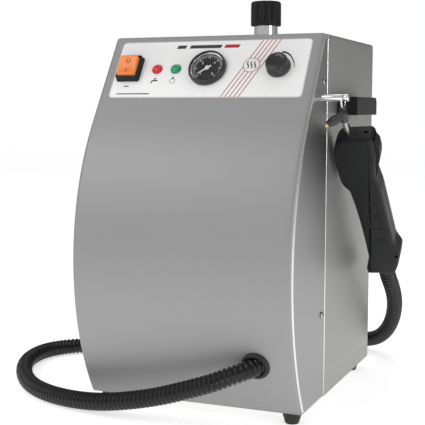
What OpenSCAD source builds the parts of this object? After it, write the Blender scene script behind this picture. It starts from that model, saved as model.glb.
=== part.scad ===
// Bench steam cleaner: bulged steel cabinet with a slanted control panel,
// a handpiece hanging on a side peg and a corrugated hose.
// Millimetres. x = 0 is the cabinet's middle, y = 0 the seam between the front
// shell and the rear cover, z = 0 the underside of the cabinet body.
// The front faces -Y, and the rubber feet reach below z = 0.

/* [Cabinet] */
// Width of the cabinet
body_w = 260; // [210:1:340]
// Height of the cabinet body, without feet
body_h = 415; // [345:1:500]
// Depth of the rear cover behind the seam
rear_depth = 214; // [178:1:300]
// Thickness of the cabinet sheet
sheet_t = 1.2; // [0.8:0.1:2]
// Gap between front shell and rear cover at the seam
seam_gap = 0.8; // [0.4:0.1:1.5]
// How far the bottom front edge stands in front of the seam
base_front = 79; // [70:1:110]
// How far the top front edge stands in front of the seam
top_lip = 9.5; // [8:0.5:30]
// Tilt of the control panel from upright
panel_tilt = 33; // [25:1:38]
// Height of the flat slanted panel
panel_drop = 100; // [92:1:125]
// Thickness of the base plate
base_t = 2; // [1.5:0.5:4]
// How far the back plate sits in from the rear edge
back_inset = 6; // [3:1:15]

/* [Feet] */
// Height of a rubber foot
foot_h = 15; // [10:1:25]
// Top diameter of a foot
foot_top_d = 24; // [18:1:30]
// Bottom diameter of a foot
foot_bottom_d = 15; // [12:1:22]
// Distance of a foot's axis from the cabinet side
foot_side = 17.5; // [16:0.5:40]
// Distance of the front feet behind the bottom front edge
foot_front = 17; // [16:0.5:40]
// Distance of the rear feet in front of the rear edge
foot_rear = 24; // [18:1:60]

/* [Panel] */
// Gap between the printed panel and each cabinet side
label_side = 12.5; // [8:0.5:30]
// Length of the printed panel along the slope
label_l = 78; // [70:1:90]
// Corner radius of the printed panel
label_r = 6; // [2:0.5:12]
// Thickness of the printed panel
label_t = 0.4; // [0.2:0.1:1]
// Distance of the printed panel's middle from the top edge, down the slope
label_s = 46.5; // [44:0.5:60]
// Gauge ring outer diameter
gauge_d = 45; // [38:1:52]
// How far the gauge stands off the panel
gauge_h = 8; // [6:0.5:12]
// Rocker switch frame width
rocker_w = 29; // [24:1:32]
// Rocker switch frame length
rocker_l = 33; // [28:1:38]
// How far the switch frame stands off the panel
rocker_h = 8; // [6:0.5:10]
// Lamp lens diameter
lamp_d = 13; // [8:0.5:16]
// Control knob diameter
knob_d = 26; // [20:1:32]
// Control knob height
knob_h = 13; // [9:1:18]
// Spindle diameter
spindle_d = 6; // [4:0.5:8]

/* [Filler] */
// Filler axis to the right of the middle
fill_x = 35.5; // [-60:0.5:60]
// Filler axis behind the seam
fill_y = 60; // [45:1:110]
// Filler collar outer diameter
collar_d = 28; // [24:1:34]
// Filler collar bore diameter
collar_bore = 20; // [14:1:22]
// Height of the cap's grip above the cabinet
cap_rise = 15; // [10:1:25]
// Cap grip diameter
cap_d = 36.5; // [34:0.5:46]
// Cap grip height
cap_h = 29; // [20:1:40]

/* [Handpiece] */
// Peg diameter
peg_d = 8; // [6:0.5:12]
// How far the peg stands out of the cabinet
peg_len = 34; // [30:1:45]
// Peg axis below the cabinet's top
peg_drop = 72; // [60:1:110]
// Peg distance in front of the seam
peg_front = 34; // [25:1:45]
// Lean of the handpiece from upright
hp_lean = 41.7; // [35:0.1:50]
// Outward splay of the handpiece's lower end
hp_splay = 3.4; // [2:0.1:6]
// Depth of the handpiece from front to back
grip_t = 27; // [24:1:32]
// Thumb lever width
lever_w = 17; // [12:1:18]
// Lance tube diameter
lance_d = 8; // [6:0.5:9]
// Wire diameter of the hanging ring
ring_wire = 2; // [1.5:0.1:2.4]

/* [Carry handles] */
// Length of a carry handle
handle_l = 96; // [80:1:120]
// How far a carry handle stands out
handle_out = 24; // [20:1:40]
// Height of a carry handle
handle_h = 21; // [16:1:30]
// Thickness of the grip bar
handle_bar = 8; // [6:0.5:10]
// Length of a carry handle's end post
handle_post = 12; // [10:1:16]
// Front end of the carry handles behind the seam
handle_y = 42; // [30:1:60]
// Top of the carry handles below the cabinet's top
handle_drop = 70; // [60:1:140]

/* [Hose] */
// Outer diameter of the corrugated hose
hose_d = 20.8; // [18:0.2:21]
// Hose outlet to the right of the middle
outlet_x = 85; // [60:1:90]
// Hose outlet above the underside
outlet_z = 57; // [45:1:70]
// Grommet flange diameter
grommet_d = 32; // [30:1:36]

/* [Boiler] */
// Boiler wall
boiler_wall = 2.5; // [1.5:0.5:4]
// Underside of the boiler above the cabinet's underside
boiler_z = 48; // [44:1:60]
// Front of the boiler behind the seam
boiler_front = 24; // [22:1:30]
// Room between the boiler and the back plate
boiler_back = 34.8; // [34:0.2:45]
// Top of the boiler below the cabinet's top
boiler_drop = 65; // [60:1:90]

/* [Hidden] */
$fn = 48;
e = 0.01;

// Front profile: a straight slanted panel that runs tangent into an arc, which
// ends at the bottom front edge.
half_w = body_w / 2;
tangent_y = -top_lip - panel_drop * tan(panel_tilt);
tangent_z = body_h - panel_drop;
chord = [-base_front - tangent_y, -tangent_z];
inward = [cos(panel_tilt), -sin(panel_tilt)];
belly_r = (chord * chord) / (2 * chord * inward);
belly_c = [tangent_y + belly_r * inward[0], tangent_z + belly_r * inward[1]];

// y of the front surface at height z on the arc, and the slope of its normal
function belly_y(z) = belly_c[0] - sqrt(belly_r ^ 2 - (z - belly_c[1]) ^ 2);
function belly_dip(z) = asin((belly_c[1] - z) / belly_r);

// Places on the panel: x from the middle and s down the slope
label_w = body_w - 2 * label_side;
gauge_at = [0, 47.5];
switch_at = [19.5 - label_w / 2, 47];
knob_at = [label_w / 2 - 33, 46.5];
lamp_room = [switch_at[0] + rocker_w / 2, -gauge_d / 2];
red_at = [lamp_room[0] * 0.672 + lamp_room[1] * 0.328, 47];
green_at = [lamp_room[0] * 0.287 + lamp_room[1] * 0.713, 47];

// Control parts
lamp_h = 5;
lamp_hole = 8;
rocker_swing = 14;
rocker_fit = 0.3;
rocker_size = [rocker_w - 5.6, rocker_l - 7.6];
rocker_pivot = rocker_h / 2;
cutout = [rocker_w - 6, rocker_l - 5];
gauge_rim = 3.2;
dial_d = gauge_d - 2 * gauge_rim;
gauge_hole = gauge_d - 5;
dial_z = 1.6;
needle_l = 13.5;
needle_rest = 216;
knob_gap = 0.6;
spindle_l = 34;
flutes = 26;

// Filler
collar_top = body_h + cap_rise + 6;
cap_z = body_h + cap_rise;
cap_flutes = 12;
plug_clear = 0.3;

// Side fittings
peg_z = body_h - peg_drop;
handle_z = body_h - handle_drop - handle_h;

// Handpiece places, in its own frame: z up the grip from its bottom end,
// x towards the thumb lever, y from front to back
hang_x = half_w + peg_len - 6.5;
groove_r = peg_d / 2 - 1.2;
ring_r = 7.75;
ring_z = peg_z + groove_r + 0.1 + ring_wire / 2 - ring_r;
hook_point = [hang_x, -peg_front, ring_z - ring_r - 7];
nozzle_joint = [5, -18, 274.5];
lance_foot = [0, 0, 225];
nozzle_dir = [-18.7, -10, -5.3];
grip_end = 231;
lever_pivot = [24.5, 219.5];
plunger_z = 197;
pin_d = 3;
pipe_at = [0, 3];

// Handpiece outline, thumb lever to the right
grip_outline = [
    [-21.5, 0], [-21, 10], [-14.5, 26], [-13, 60], [-12.5, 95], [-13, 125],
    [-14.5, 150], [-20, 158], [-22, 166], [-22, 195], [-20.5, 213], [-17, 223],
    [-10, 231], [25, 231], [28, 227], [27.5, 205], [24, 190], [21, 174],
    [23, 150], [22.6, 100], [22.2, 56], [27.5, 38], [20, 14], [14, 0]
];
lever_outline = [
    [22, 223.5], [28.5, 223.5], [31.4, 217], [31.4, 205], [29.8, 196],
    [25.5, 184], [21.8, 176.5], [19.6, 178], [22, 190], [22, 214]
];

// Hose route: offsets from the outlet, points on the floor and behind, then
// offsets from the foot of the handpiece
hose_rest = -foot_h + hose_d / 2 + 0.1;
outlet = [outlet_x, belly_y(outlet_z), outlet_z];
grip_foot = in_handpiece([0, 0, -0.3]);
hose_start = [
    [2, 4, 0], [-3, -6, -2], [-11, -15, -5], [-24, -21, -10], [-42, -24, -18]
];
hose_middle = [
    [18, -129, 30], [-20, -127, 17], [-60, -124, 7],
    [-98, -120, 0], [-136, -113, -3], [-176, -99, hose_rest],
    [-213, -77, hose_rest], [-246, -43, hose_rest], [-276, 2, hose_rest],
    [-292, 42, hose_rest], [-296, 80, hose_rest], [-286, 108, hose_rest],
    [-266, 130, hose_rest], [-236, 152, hose_rest], [-200, 180, hose_rest],
    [-164, 214, hose_rest], [-120, 246, hose_rest], [-64, 276, hose_rest],
    [-4, 298, hose_rest], [46, 311, hose_rest], [84, 313, -3], [110, 306, 1]
];
hose_end = [
    [-35, 129, -121.5], [-19, 110, -104.5], [-7, 87, -81.5], [0, 62, -56.5], [2, 35, -33.5]
];
hose_sides = 12;

// Screws and small fits
screw_r = 2;
screw_head_r = 4;
screw_clear = 0.1;
cheek_screws = [[-15, body_h - 54], [-12, 98]];
back_screw_z = [30, body_h - 30];
foot_y = [-base_front + foot_front, rear_depth - foot_rear];
handle_screw_z = handle_z + handle_h / 2;

// Inner parts
boiler_top = body_h - boiler_drop;
element_flange_r = 32;
element_l = 110;
inlet_at = [-70, 95];
inlet_size = [28, 20];
drain_at = [0, 24];
boiler_r = (rear_depth - back_inset - sheet_t - boiler_front - boiler_back) / 2;
boiler_y = boiler_front + boiler_r;
spout_r = 6;
spout_l = 18;
spout_bore_r = 3.5;

// ---------- helpers ----------

// Children with z = 0 on the panel and +Z along its outward normal
module on_panel(at) {
    translate([at[0], -top_lip - at[1] * sin(panel_tilt), body_h - at[1] * cos(panel_tilt)])
        rotate([90 - panel_tilt, 0, 0])
            children();
}

// Children in the handpiece's own frame, hung by its nozzle joint
module at_handpiece() {
    translate(hook_point) rotate([hp_lean, -hp_splay, 0]) translate(-nozzle_joint) children();
}

// Where a point of the handpiece's own frame lies in the cabinet's frame
function in_handpiece(p) =
    let (
        q = p - nozzle_joint,
        y = q[1] * cos(hp_lean) - q[2] * sin(hp_lean),
        z = q[1] * sin(hp_lean) + q[2] * cos(hp_lean)
    )
    hook_point + [
        q[0] * cos(hp_splay) - z * sin(hp_splay), y,
        q[0] * sin(hp_splay) + z * cos(hp_splay)
    ];

// Children at the hose outlet, +Z along the surface's outward normal
module at_outlet() {
    translate([outlet_x, belly_y(outlet_z), outlet_z])
        rotate([90 + belly_dip(outlet_z), 0, 0])
            children();
}

// Cylinder between two points
module rod(from, to, r) {
    d = to - from;
    translate(from)
        rotate([0, acos(d[2] / norm(d)), atan2(d[1], d[0])])
            cylinder(h = norm(d), r = r);
}

// Cylinder along +X
module bar_x(at, r, l) {
    translate(at) rotate([0, 90, 0]) cylinder(h = l, r = r);
}

// Cylinder along +Y
module bar_y(at, r, l) {
    translate(at) rotate([-90, 0, 0]) cylinder(h = l, r = r);
}

// Rounded rectangle plate, centred, standing on z = 0
module round_plate(w, l, r, t) {
    linear_extrude(t)
        union() {
            square([w - 2 * r, l], center = true);
            square([w, l - 2 * r], center = true);
            for (x = [-1, 1], y = [-1, 1])
                translate([x * (w / 2 - r), y * (l / 2 - r)]) circle(r);
        }
}

// Pan head screw pointing down from z = 0, its head above
module pan_screw(r, head_r, l) {
    cylinder(h = head_r * 0.55, r1 = head_r, r2 = head_r * 0.7);
    translate([0, 0, -l]) cylinder(h = l + e, r = r);
}

// Pipe through points, with an upright drum fitting at each corner
module pipe_run(points, r) {
    for (i = [0 : len(points) - 2]) rod(points[i], points[i + 1], r);
    for (i = [1 : 1 : len(points) - 2])
        translate(points[i] - [0, 0, r * 1.7]) cylinder(h = r * 3.4, r = r * 1.5);
}

// Side profile of the front, inset by d, as a 2D shape in y and z. The arc is a
// hair larger than tangent, so that it crosses the slanted line cleanly. An inset
// profile runs on below and behind, so that it opens the shell there.
module front_profile(d) {
    top = body_h - d;
    past = d > 0 ? 1 : 0;
    slide = d / cos(panel_tilt);
    split = tangent_z + d * inward[1];
    lean = tan(panel_tilt);
    joint_y = -top_lip - (body_h - split) * lean + slide;
    intersection() {
        union() {
            intersection() {
                translate(belly_c) circle(belly_r + e - d, $fn = 180);
                translate([-body_h, -past]) square([2 * body_h, split + past + 20]);
            }
            polygon([
                [joint_y, split], [-top_lip - (body_h - top) * lean + slide, top],
                [body_h, top], [body_h, split - 10], [joint_y + 10, split - 10]
            ]);
        }
        translate([-body_h, -past]) square([body_h + past, top + past]);
    }
}

// Front body of width w, inset by d
module front_block(w, d) {
    translate([-w / 2, 0, 0])
        rotate([90, 0, 90])
            linear_extrude(w)
                front_profile(d);
}

// ---------- cabinet ----------

module front_shell() {
    color("silver")
    difference() {
        front_block(body_w, 0);
        front_block(body_w - 2 * sheet_t, sheet_t);
        on_panel(gauge_at) translate([0, 0, -9]) cylinder(h = 10, d = gauge_hole);
        on_panel(switch_at)
            translate([-cutout[0] / 2, -cutout[1] / 2, -9]) cube([cutout[0], cutout[1], 10]);
        for (at = [red_at, green_at])
            on_panel(at) translate([0, 0, -9]) cylinder(h = 10, d = lamp_hole + 0.4);
        on_panel(knob_at) translate([0, 0, -9]) cylinder(h = 10, d = 10.4);
        at_outlet() translate([0, 0, -12]) cylinder(h = 20, d = grommet_d - 3);
        bar_x([half_w - 5, -peg_front, peg_z], 3.1, 10);
        for (side = [-1, 1], at = cheek_screws)
            bar_x([side * half_w - 5, at[0], at[1]], screw_r + screw_clear, 10);
    }
}

module rear_cover() {
    color("silver")
    difference() {
        translate([-half_w, seam_gap, 0]) cube([body_w, rear_depth - seam_gap, body_h]);
        translate([-half_w + sheet_t, -1, -1])
            cube([body_w - 2 * sheet_t, rear_depth + 2, body_h - sheet_t + 1]);
        translate([fill_x, fill_y, body_h - 5]) cylinder(h = 10, d = collar_d + 0.6);
        for (side = [-1, 1], y = handle_screw_y())
            bar_x([side * half_w - 5, y, handle_screw_z], 2.6, 10);
    }
    // Joggled flange inside each cheek of the front shell
    for (side = [-1, 1])
        difference() {
            union() {
                translate([side * (half_w - 2 * sheet_t - 0.15) - sheet_t / 2, -24, 40])
                    cube([sheet_t, 30, body_h - 82]);
                translate([side * (half_w - 1.5 * sheet_t) - sheet_t / 2 - 0.1, 3, 40])
                    cube([sheet_t + 0.2, 3, body_h - 82]);
            }
            for (at = cheek_screws)
                bar_x([side * half_w - 8, at[0], at[1]], screw_r + screw_clear, 16);
            bar_x([half_w - 20, -peg_front, peg_z], 16, 16);
        }
}

module back_plate() {
    plate_w = body_w - 2 * sheet_t - 0.6;
    plate_h = body_h - sheet_t - 0.6 - base_t - 0.3;
    color("gainsboro")
    difference() {
        translate([-plate_w / 2, rear_depth - back_inset - sheet_t, base_t + 0.3])
            cube([plate_w, sheet_t, plate_h]);
        translate([inlet_at[0] - inlet_size[0] / 2 + 1.6, rear_depth - 30, inlet_at[1] - inlet_size[1] / 2 + 1.6])
            cube([inlet_size[0] - 3.2, 40, inlet_size[1] - 3.2]);
        bar_y([drain_at[0], rear_depth - 30, drain_at[1]], 8.3, 40);
        for (side = [-1, 1], z = back_screw_z)
            bar_y([side * (half_w - 10), rear_depth - 30, z], screw_r + screw_clear, 40);
    }
}

module base_plate() {
    front_y = belly_y(0) + sheet_t + 1.2;
    color("silver")
    difference() {
        translate([-half_w + sheet_t + 0.2, front_y, 0])
            cube([body_w - 2 * sheet_t - 0.4, rear_depth - 0.5 - front_y, base_t]);
        for (x = foot_x(), y = foot_y)
            translate([x, y, -1]) cylinder(h = base_t + 2, r = screw_r + screw_clear);
    }
}

function foot_x() = [-half_w + foot_side, half_w - foot_side];
function leg_x() = boiler_r * 0.62;
function handle_screw_y() = [handle_y + handle_post / 2, handle_y + handle_l - handle_post / 2];

module cover_screws(side) {
    color("gray")
    for (at = cheek_screws)
        translate([side * half_w, at[0], at[1]])
            rotate([0, side * 90, 0])
                pan_screw(screw_r, screw_head_r, 9);
}

module cover_screws_right() {
    cover_screws(1);
}

module cover_screws_left() {
    cover_screws(-1);
}

module back_screws() {
    color("gray")
    for (side = [-1, 1], z = back_screw_z)
        translate([side * (half_w - 10), rear_depth - back_inset, z])
            rotate([-90, 0, 0])
                pan_screw(screw_r, 3.6, 9);
}

module panel_label() {
    color("white")
    on_panel([0, label_s])
    difference() {
        round_plate(label_w, label_l, label_r, label_t);
        translate([gauge_at[0], label_s - gauge_at[1], -1]) cylinder(h = 3, d = gauge_hole);
        translate([switch_at[0] - cutout[0] / 2, label_s - switch_at[1] - cutout[1] / 2, -1])
            cube([cutout[0], cutout[1], 3]);
        for (at = [red_at, green_at])
            translate([at[0], label_s - at[1], -1]) cylinder(h = 3, d = lamp_hole + 0.4);
        translate([knob_at[0], label_s - knob_at[1], -1]) cylinder(h = 3, d = 10.4);
    }
}

// ---------- feet ----------

module foot(x, y) {
    color("black")
    translate([x, y, -foot_h])
    difference() {
        cylinder(h = foot_h, d1 = foot_bottom_d, d2 = foot_top_d);
        translate([0, 0, -e]) cylinder(h = 6 + 2 * e, r = 5);
        translate([0, 0, -e]) cylinder(h = foot_h + 1, r = screw_r + screw_clear);
    }
}

module foot_front_left() {
    foot(foot_x()[0], foot_y[0]);
}

module foot_front_right() {
    foot(foot_x()[1], foot_y[0]);
}

module foot_rear_left() {
    foot(foot_x()[0], foot_y[1]);
}

module foot_rear_right() {
    foot(foot_x()[1], foot_y[1]);
}

module foot_screws() {
    color("lightgray")
    for (x = foot_x(), y = foot_y)
        translate([x, y, -foot_h + 6])
            rotate([180, 0, 0])
                pan_screw(screw_r, 4.4, foot_h - 6 + base_t + 3);
}

// ---------- control panel ----------

module rocker_frame() {
    open_w = rocker_size[0] + 2 * rocker_fit;
    open_l = rocker_size[1] + 2 * rocker_fit;
    color("black")
    on_panel(switch_at)
    difference() {
        union() {
            translate([0, 0, label_t + 0.05]) round_plate(rocker_w, rocker_l, 3, 3);
            translate([0, 0, 3]) round_plate(rocker_w - 1.6, rocker_l - 1.6, 2.6, rocker_h - 3);
            translate([-cutout[0] / 2 + 0.5, -cutout[1] / 2 + 0.5, -16])
                cube([cutout[0] - 1, cutout[1] - 1, 17]);
        }
        translate([-open_w / 2, -open_l / 2, 1.2]) cube([open_w, open_l, rocker_h]);
        bar_x([-open_w / 2 - 1.2, 0, rocker_pivot], 1.55, open_w + 2.4);
    }
}

// See-saw cap on its axle: its lower half is pressed in at rest
module rocker_button() {
    w = rocker_size[0];
    l = rocker_size[1] / 2;
    color("orangered")
    on_panel(switch_at)
    translate([0, 0, rocker_pivot])
    rotate([rocker_swing / 2, 0, 0])
    union() {
        translate([-w / 2, 0, 0])
            rotate([90, 0, 90])
                linear_extrude(w)
                    polygon([
                        [-l + 1.4, -0.6], [-l + 0.4, 8.3], [0, 6.8], [l - 0.4, 8.3],
                        [l - 1.4, -0.6], [4, -1.8], [-4, -1.8]
                    ]);
        bar_x([-w / 2 - 1.3, 0, 0], 1.5, w + 2.6);
    }
}

module lamp(at) {
    on_panel(at)
    union() {
        translate([0, 0, label_t + 0.05]) cylinder(h = 1.6, d = lamp_d);
        translate([0, 0, label_t + 1.6])
            cylinder(h = lamp_h - label_t - 1.6, d1 = lamp_d - 1.6, d2 = lamp_d - 5);
        translate([0, 0, -18]) cylinder(h = 19, d = lamp_hole);
    }
}

module lamp_red() {
    color("crimson") lamp(red_at);
}

module lamp_green() {
    color("seagreen") lamp(green_at);
}

module gauge_case() {
    color("dimgray")
    on_panel(gauge_at)
    difference() {
        union() {
            translate([0, 0, label_t + 0.05]) cylinder(h = gauge_h - 2.6, d = gauge_d);
            translate([0, 0, -26]) cylinder(h = 27, d = gauge_hole - 0.6);
        }
        translate([0, 0, dial_z - 0.05]) cylinder(h = gauge_h, d = dial_d + 0.2);
        translate([0, 0, -24]) cylinder(h = 40, d = gauge_hole - 3.6);
        translate([0, 0, -27]) cylinder(h = 5, d = 9);
    }
}

module gauge_ring() {
    color("silver")
    on_panel(gauge_at)
    translate([0, 0, gauge_h - 2.1])
    rotate_extrude()
        polygon([
            [dial_d / 2, 0], [gauge_d / 2, 0], [gauge_d / 2, 1.2],
            [gauge_d / 2 - 1, 2.1], [dial_d / 2 + 0.8, 2.1], [dial_d / 2, 1.3]
        ]);
}

module gauge_dial() {
    color("black")
    on_panel(gauge_at)
    difference() {
        translate([0, 0, dial_z]) cylinder(h = 0.8, d = dial_d);
        translate([0, 0, dial_z - 1]) cylinder(h = 3, r = 1.2);
    }
}

module gauge_needle() {
    color("white")
    on_panel(gauge_at)
    translate([0, 0, dial_z + 1.8])
    rotate(needle_rest)
    union() {
        linear_extrude(0.6)
            polygon([[-5, -1], [-5, 1], [needle_l - 1, 0.45], [needle_l, 0], [needle_l - 1, -0.45]]);
        cylinder(h = 1.2, r = 2.4);
        translate([0, 0, -8]) cylinder(h = 8.2, r = 1);
    }
}

module gauge_glass() {
    color("lightblue", 0.3)
    on_panel(gauge_at)
        translate([0, 0, gauge_h - 2.2])
            cylinder(h = 1, d = dial_d - 0.2);
}

module gauge_socket() {
    color("goldenrod")
    on_panel(gauge_at)
    union() {
        translate([0, 0, -38]) cylinder(h = 11.9, d = 12, $fn = 6);
        translate([0, 0, -30]) cylinder(h = 16, d = 8.6);
        translate([0, 0, -46]) cylinder(h = 9, d = 8);
    }
}

module steam_knob() {
    rise = label_t + knob_gap;
    color("black")
    on_panel(knob_at)
    difference() {
        union() {
            translate([0, 0, rise]) cylinder(h = 3, d = knob_d + 1.5);
            translate([0, 0, rise + 3 - e]) cylinder(h = knob_h - 4, d = knob_d - 0.8);
            translate([0, 0, rise + knob_h - 1 - e])
                cylinder(h = 1, d1 = knob_d - 0.8, d2 = knob_d - 3);
            for (i = [0 : flutes - 1])
                rotate(i * 360 / flutes)
                    translate([knob_d / 2 - 0.9, 0, rise + 2])
                        cylinder(h = knob_h - 3.6, r = 0.9);
        }
        translate([0, 0, -1]) cylinder(h = knob_h - 2, d = spindle_d + 0.02);
    }
}

module knob_spindle() {
    color("goldenrod")
    on_panel(knob_at)
        translate([0, 0, knob_h - 4 - spindle_l])
            cylinder(h = spindle_l, d = spindle_d);
}

module needle_valve() {
    color("goldenrod")
    on_panel(knob_at)
    difference() {
        union() {
            translate([0, 0, -8]) cylinder(h = 8.3, d = 10);
            translate([0, 0, -sheet_t - 4.2]) cylinder(h = 4.1, d = 17, $fn = 6);
            translate([-8, -8, -spindle_l - 2]) cube([16, 16, spindle_l - sheet_t - 2]);
        }
        translate([0, 0, knob_h - 5 - spindle_l]) cylinder(h = 60, d = spindle_d + 0.12);
        bar_x([-20, 0, -spindle_l + 2], 2.2, 40);
    }
}

// ---------- filler ----------

module filler_collar() {
    color("silver")
    translate([fill_x, fill_y, 0])
    difference() {
        translate([0, 0, boiler_top - 4]) cylinder(h = collar_top - boiler_top + 4, d = collar_d);
        translate([0, 0, boiler_top - 5]) cylinder(h = collar_top - boiler_top + 8, d = collar_bore);
        rotate(-85) bar_x([collar_bore / 2 + 2, 0, body_h + cap_rise - 4], 1.2, 10);
    }
}

module cap_grip() {
    flute_r = 3;
    color("black")
    translate([fill_x, fill_y, cap_z])
    difference() {
        union() {
            cylinder(h = cap_h - 2, d = cap_d);
            translate([0, 0, cap_h - 2 - e]) cylinder(h = 1.2, d1 = cap_d, d2 = cap_d - 3);
            translate([0, 0, cap_h - 1]) cylinder(h = 1, d = cap_d - 14);
        }
        for (i = [0 : cap_flutes - 1])
            rotate(i * 360 / cap_flutes)
                translate([cap_d / 2 + flute_r * 0.62, 0, 4]) cylinder(h = cap_h, r = flute_r);
        translate([0, 0, -e]) cylinder(h = collar_top - cap_z + 5.6, d = collar_d + 0.8);
        translate([0, 0, -e]) cylinder(h = cap_h - 4, d = 10.1);
    }
}

module cap_plug() {
    color("goldenrod")
    translate([fill_x, fill_y, 0])
    union() {
        translate([0, 0, collar_top - 26])
            cylinder(h = 26 + 2.2, d = collar_bore - 2 * plug_clear);
        translate([0, 0, collar_top + 2.2 - e]) cylinder(h = 1.8, d = collar_d - 1);
        translate([0, 0, collar_top + 3]) cylinder(h = cap_z + cap_h - 5 - collar_top - 3, d = 10);
    }
}

module cap_seal() {
    color("firebrick")
    translate([fill_x, fill_y, collar_top + 0.1])
    difference() {
        cylinder(h = 2, d = collar_d - 1);
        translate([0, 0, -1]) cylinder(h = 4, d = collar_bore - 2 * plug_clear + 0.1);
    }
}

// ---------- hanger peg ----------

module hanger_peg() {
    color("silver")
    difference() {
        union() {
            bar_x([half_w + 0.05, -peg_front, peg_z], peg_d / 2, peg_len);
            bar_x([half_w - 12, -peg_front, peg_z], 3, 13);
        }
        translate([hang_x, -peg_front, peg_z])
            rotate([0, 90, 0])
                difference() {
                    cylinder(h = ring_wire + 0.8, r = peg_d, center = true);
                    cylinder(h = ring_wire + 2, r = groove_r, center = true);
                }
    }
}

module peg_nut() {
    color("silver")
    difference() {
        translate([half_w - sheet_t - 5.1, -peg_front, peg_z])
            rotate([0, 90, 0])
                cylinder(h = 5, d = 11, $fn = 6);
        bar_x([half_w - 12, -peg_front, peg_z], 3.05, 13);
    }
}

// ---------- carry handles ----------

module carry_handle(side) {
    corner = 7;
    color("black")
    difference() {
        intersection() {
            translate([side > 0 ? half_w + 0.05 : -half_w - 0.05 - handle_out, handle_y, handle_z])
                cube([handle_out, handle_l, handle_h]);
            translate([-half_w - 50, 0, 0])
                rotate([90, 0, 90])
                    linear_extrude(body_w + 100)
                        union() {
                            translate([handle_y, handle_z])
                                square([handle_l - corner, handle_h]);
                            translate([handle_y, handle_z])
                                square([handle_l, handle_h - corner]);
                            translate([handle_y + handle_l - corner, handle_z + handle_h - corner])
                                circle(corner);
                        }
        }
        translate([
            side > 0 ? half_w - 1 : -half_w - handle_out + handle_bar,
            handle_y + handle_post, handle_z - 1
        ])
            cube([handle_out - handle_bar + 1, handle_l - 2 * handle_post, handle_h + 2]);
        for (y = handle_screw_y())
            bar_x([side * (half_w + 7) - 8, y, handle_screw_z], 2.6, 16);
    }
}

module carry_handle_right() {
    carry_handle(1);
}

module carry_handle_left() {
    carry_handle(-1);
}

module handle_screws() {
    color("gray")
    for (side = [-1, 1], y = handle_screw_y())
        translate([side * (half_w - sheet_t - 0.05), y, handle_screw_z])
            rotate([0, -side * 90, 0])
                pan_screw(2.5, 4.5, 14);
}

// ---------- hose ----------

module hose_grommet() {
    color("black")
    at_outlet()
    difference() {
        union() {
            translate([0, 0, 0.1]) cylinder(h = 3.2, d1 = grommet_d, d2 = grommet_d - 3);
            translate([0, 0, -7]) cylinder(h = 8, d = grommet_d - 3.6);
            translate([0, 0, -7]) cylinder(h = 3, d = grommet_d);
        }
        translate([0, 0, -9]) cylinder(h = 20, d = hose_d + 2);
    }
}

// Frames along a route: a ring's normal is the mean direction at its point
function unit(v) = v / norm(v);
function ways(p) = [
    for (i = [0 : len(p) - 1])
        unit(p[min(i + 1, len(p) - 1)] - p[max(i - 1, 0)])
];
function sides_of(t, i = 0, prev = [0, 0, 1]) =
    i == len(t) ? [] :
    let (s = unit(cross(t[i], cross(prev, t[i]))))
    concat([s], sides_of(t, i + 1, s));

// Cuts each corner of a route, two points to a stretch
function eased(p) = concat(
    [p[0]],
    [for (i = [0 : len(p) - 2], k = [0.26, 0.74]) p[i] + (p[i + 1] - p[i]) * k],
    [p[len(p) - 1]]
);

module tube(path, r, sides) {
    t = ways(path);
    s = sides_of(t, 0, [0, 0, 1]);
    rings = [
        for (i = [0 : len(path) - 1], k = [0 : sides - 1])
            path[i] + r * (cos(k * 360 / sides) * s[i] + sin(k * 360 / sides) * cross(t[i], s[i]))
    ];
    n = len(path);
    polyhedron(
        rings,
        concat(
            [[for (k = [0 : sides - 1]) k]],
            [for (i = [0 : n - 2], k = [0 : sides - 1]) [
                i * sides + k, (i + 1) * sides + k,
                (i + 1) * sides + (k + 1) % sides, i * sides + (k + 1) % sides
            ]],
            [[for (k = [sides - 1 : -1 : 0]) (n - 1) * sides + k]]
        )
    );
}

module steam_hose() {
    route = concat(
        [for (p = hose_start) outlet + p],
        hose_middle,
        [for (p = hose_end) grip_foot + p],
        [in_handpiece([0, 0, -24]), grip_foot]
    );
    color("black")
        tube(eased(route), hose_d / 2, hose_sides);
}

// ---------- handpiece ----------

// Extruded outline with two chamfered steps towards the faces
module grip_solid() {
    steps = [[grip_t / 2, 3], [grip_t / 2 - 2, 1.2], [grip_t / 2 - 4.5, 0]];
    for (s = steps)
        rotate([90, 0, 0])
            linear_extrude(2 * s[0], center = true)
                offset(delta = -s[1]) polygon(grip_outline);
}

module grip_hollow() {
    translate([pipe_at[0], pipe_at[1], -1]) cylinder(h = 195, r = 5);
    translate([pipe_at[0] - 1, pipe_at[1], 192]) cylinder(h = 20, r = 7.6);
    translate([0.2, 0.3, 205]) cylinder(h = 40, r = 6.8);
    translate([15, -lever_w / 2 - 0.4, 171]) cube([20, lever_w + 0.8, 54.5]);
    translate([6.5, -3.6, plunger_z - 10.4]) cube([9, 7.2, 20.8]);
    bar_y([lever_pivot[0], -grip_t / 2 + 1.5, lever_pivot[1]], pin_d / 2 + 0.03, grip_t - 3);
    bar_y([21.5, -grip_t, 34], 2.2, 2 * grip_t);
    translate([19, 1, grip_end - 3]) cylinder(h = 8, r = 2.2);
    for (at = grip_screw_at())
        bar_y([at[0], -grip_t / 2 + 4, at[1]], 1.6, grip_t);
    for (at = grip_screw_at())
        bar_y([at[0], grip_t / 2 - 3, at[1]], 3.2, 10);
}

function grip_screw_at() = [[-9, 12], [15, 78], [15, 140], [-15, 190]];

module grip_front() {
    color("black")
    at_handpiece()
    difference() {
        grip_solid();
        translate([-60, 0, -10]) cube([120, 60, 300]);
        grip_hollow();
    }
}

module grip_rear() {
    color("black")
    at_handpiece()
    difference() {
        grip_solid();
        translate([-60, -60, -10]) cube([120, 60, 300]);
        grip_hollow();
    }
}

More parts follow.
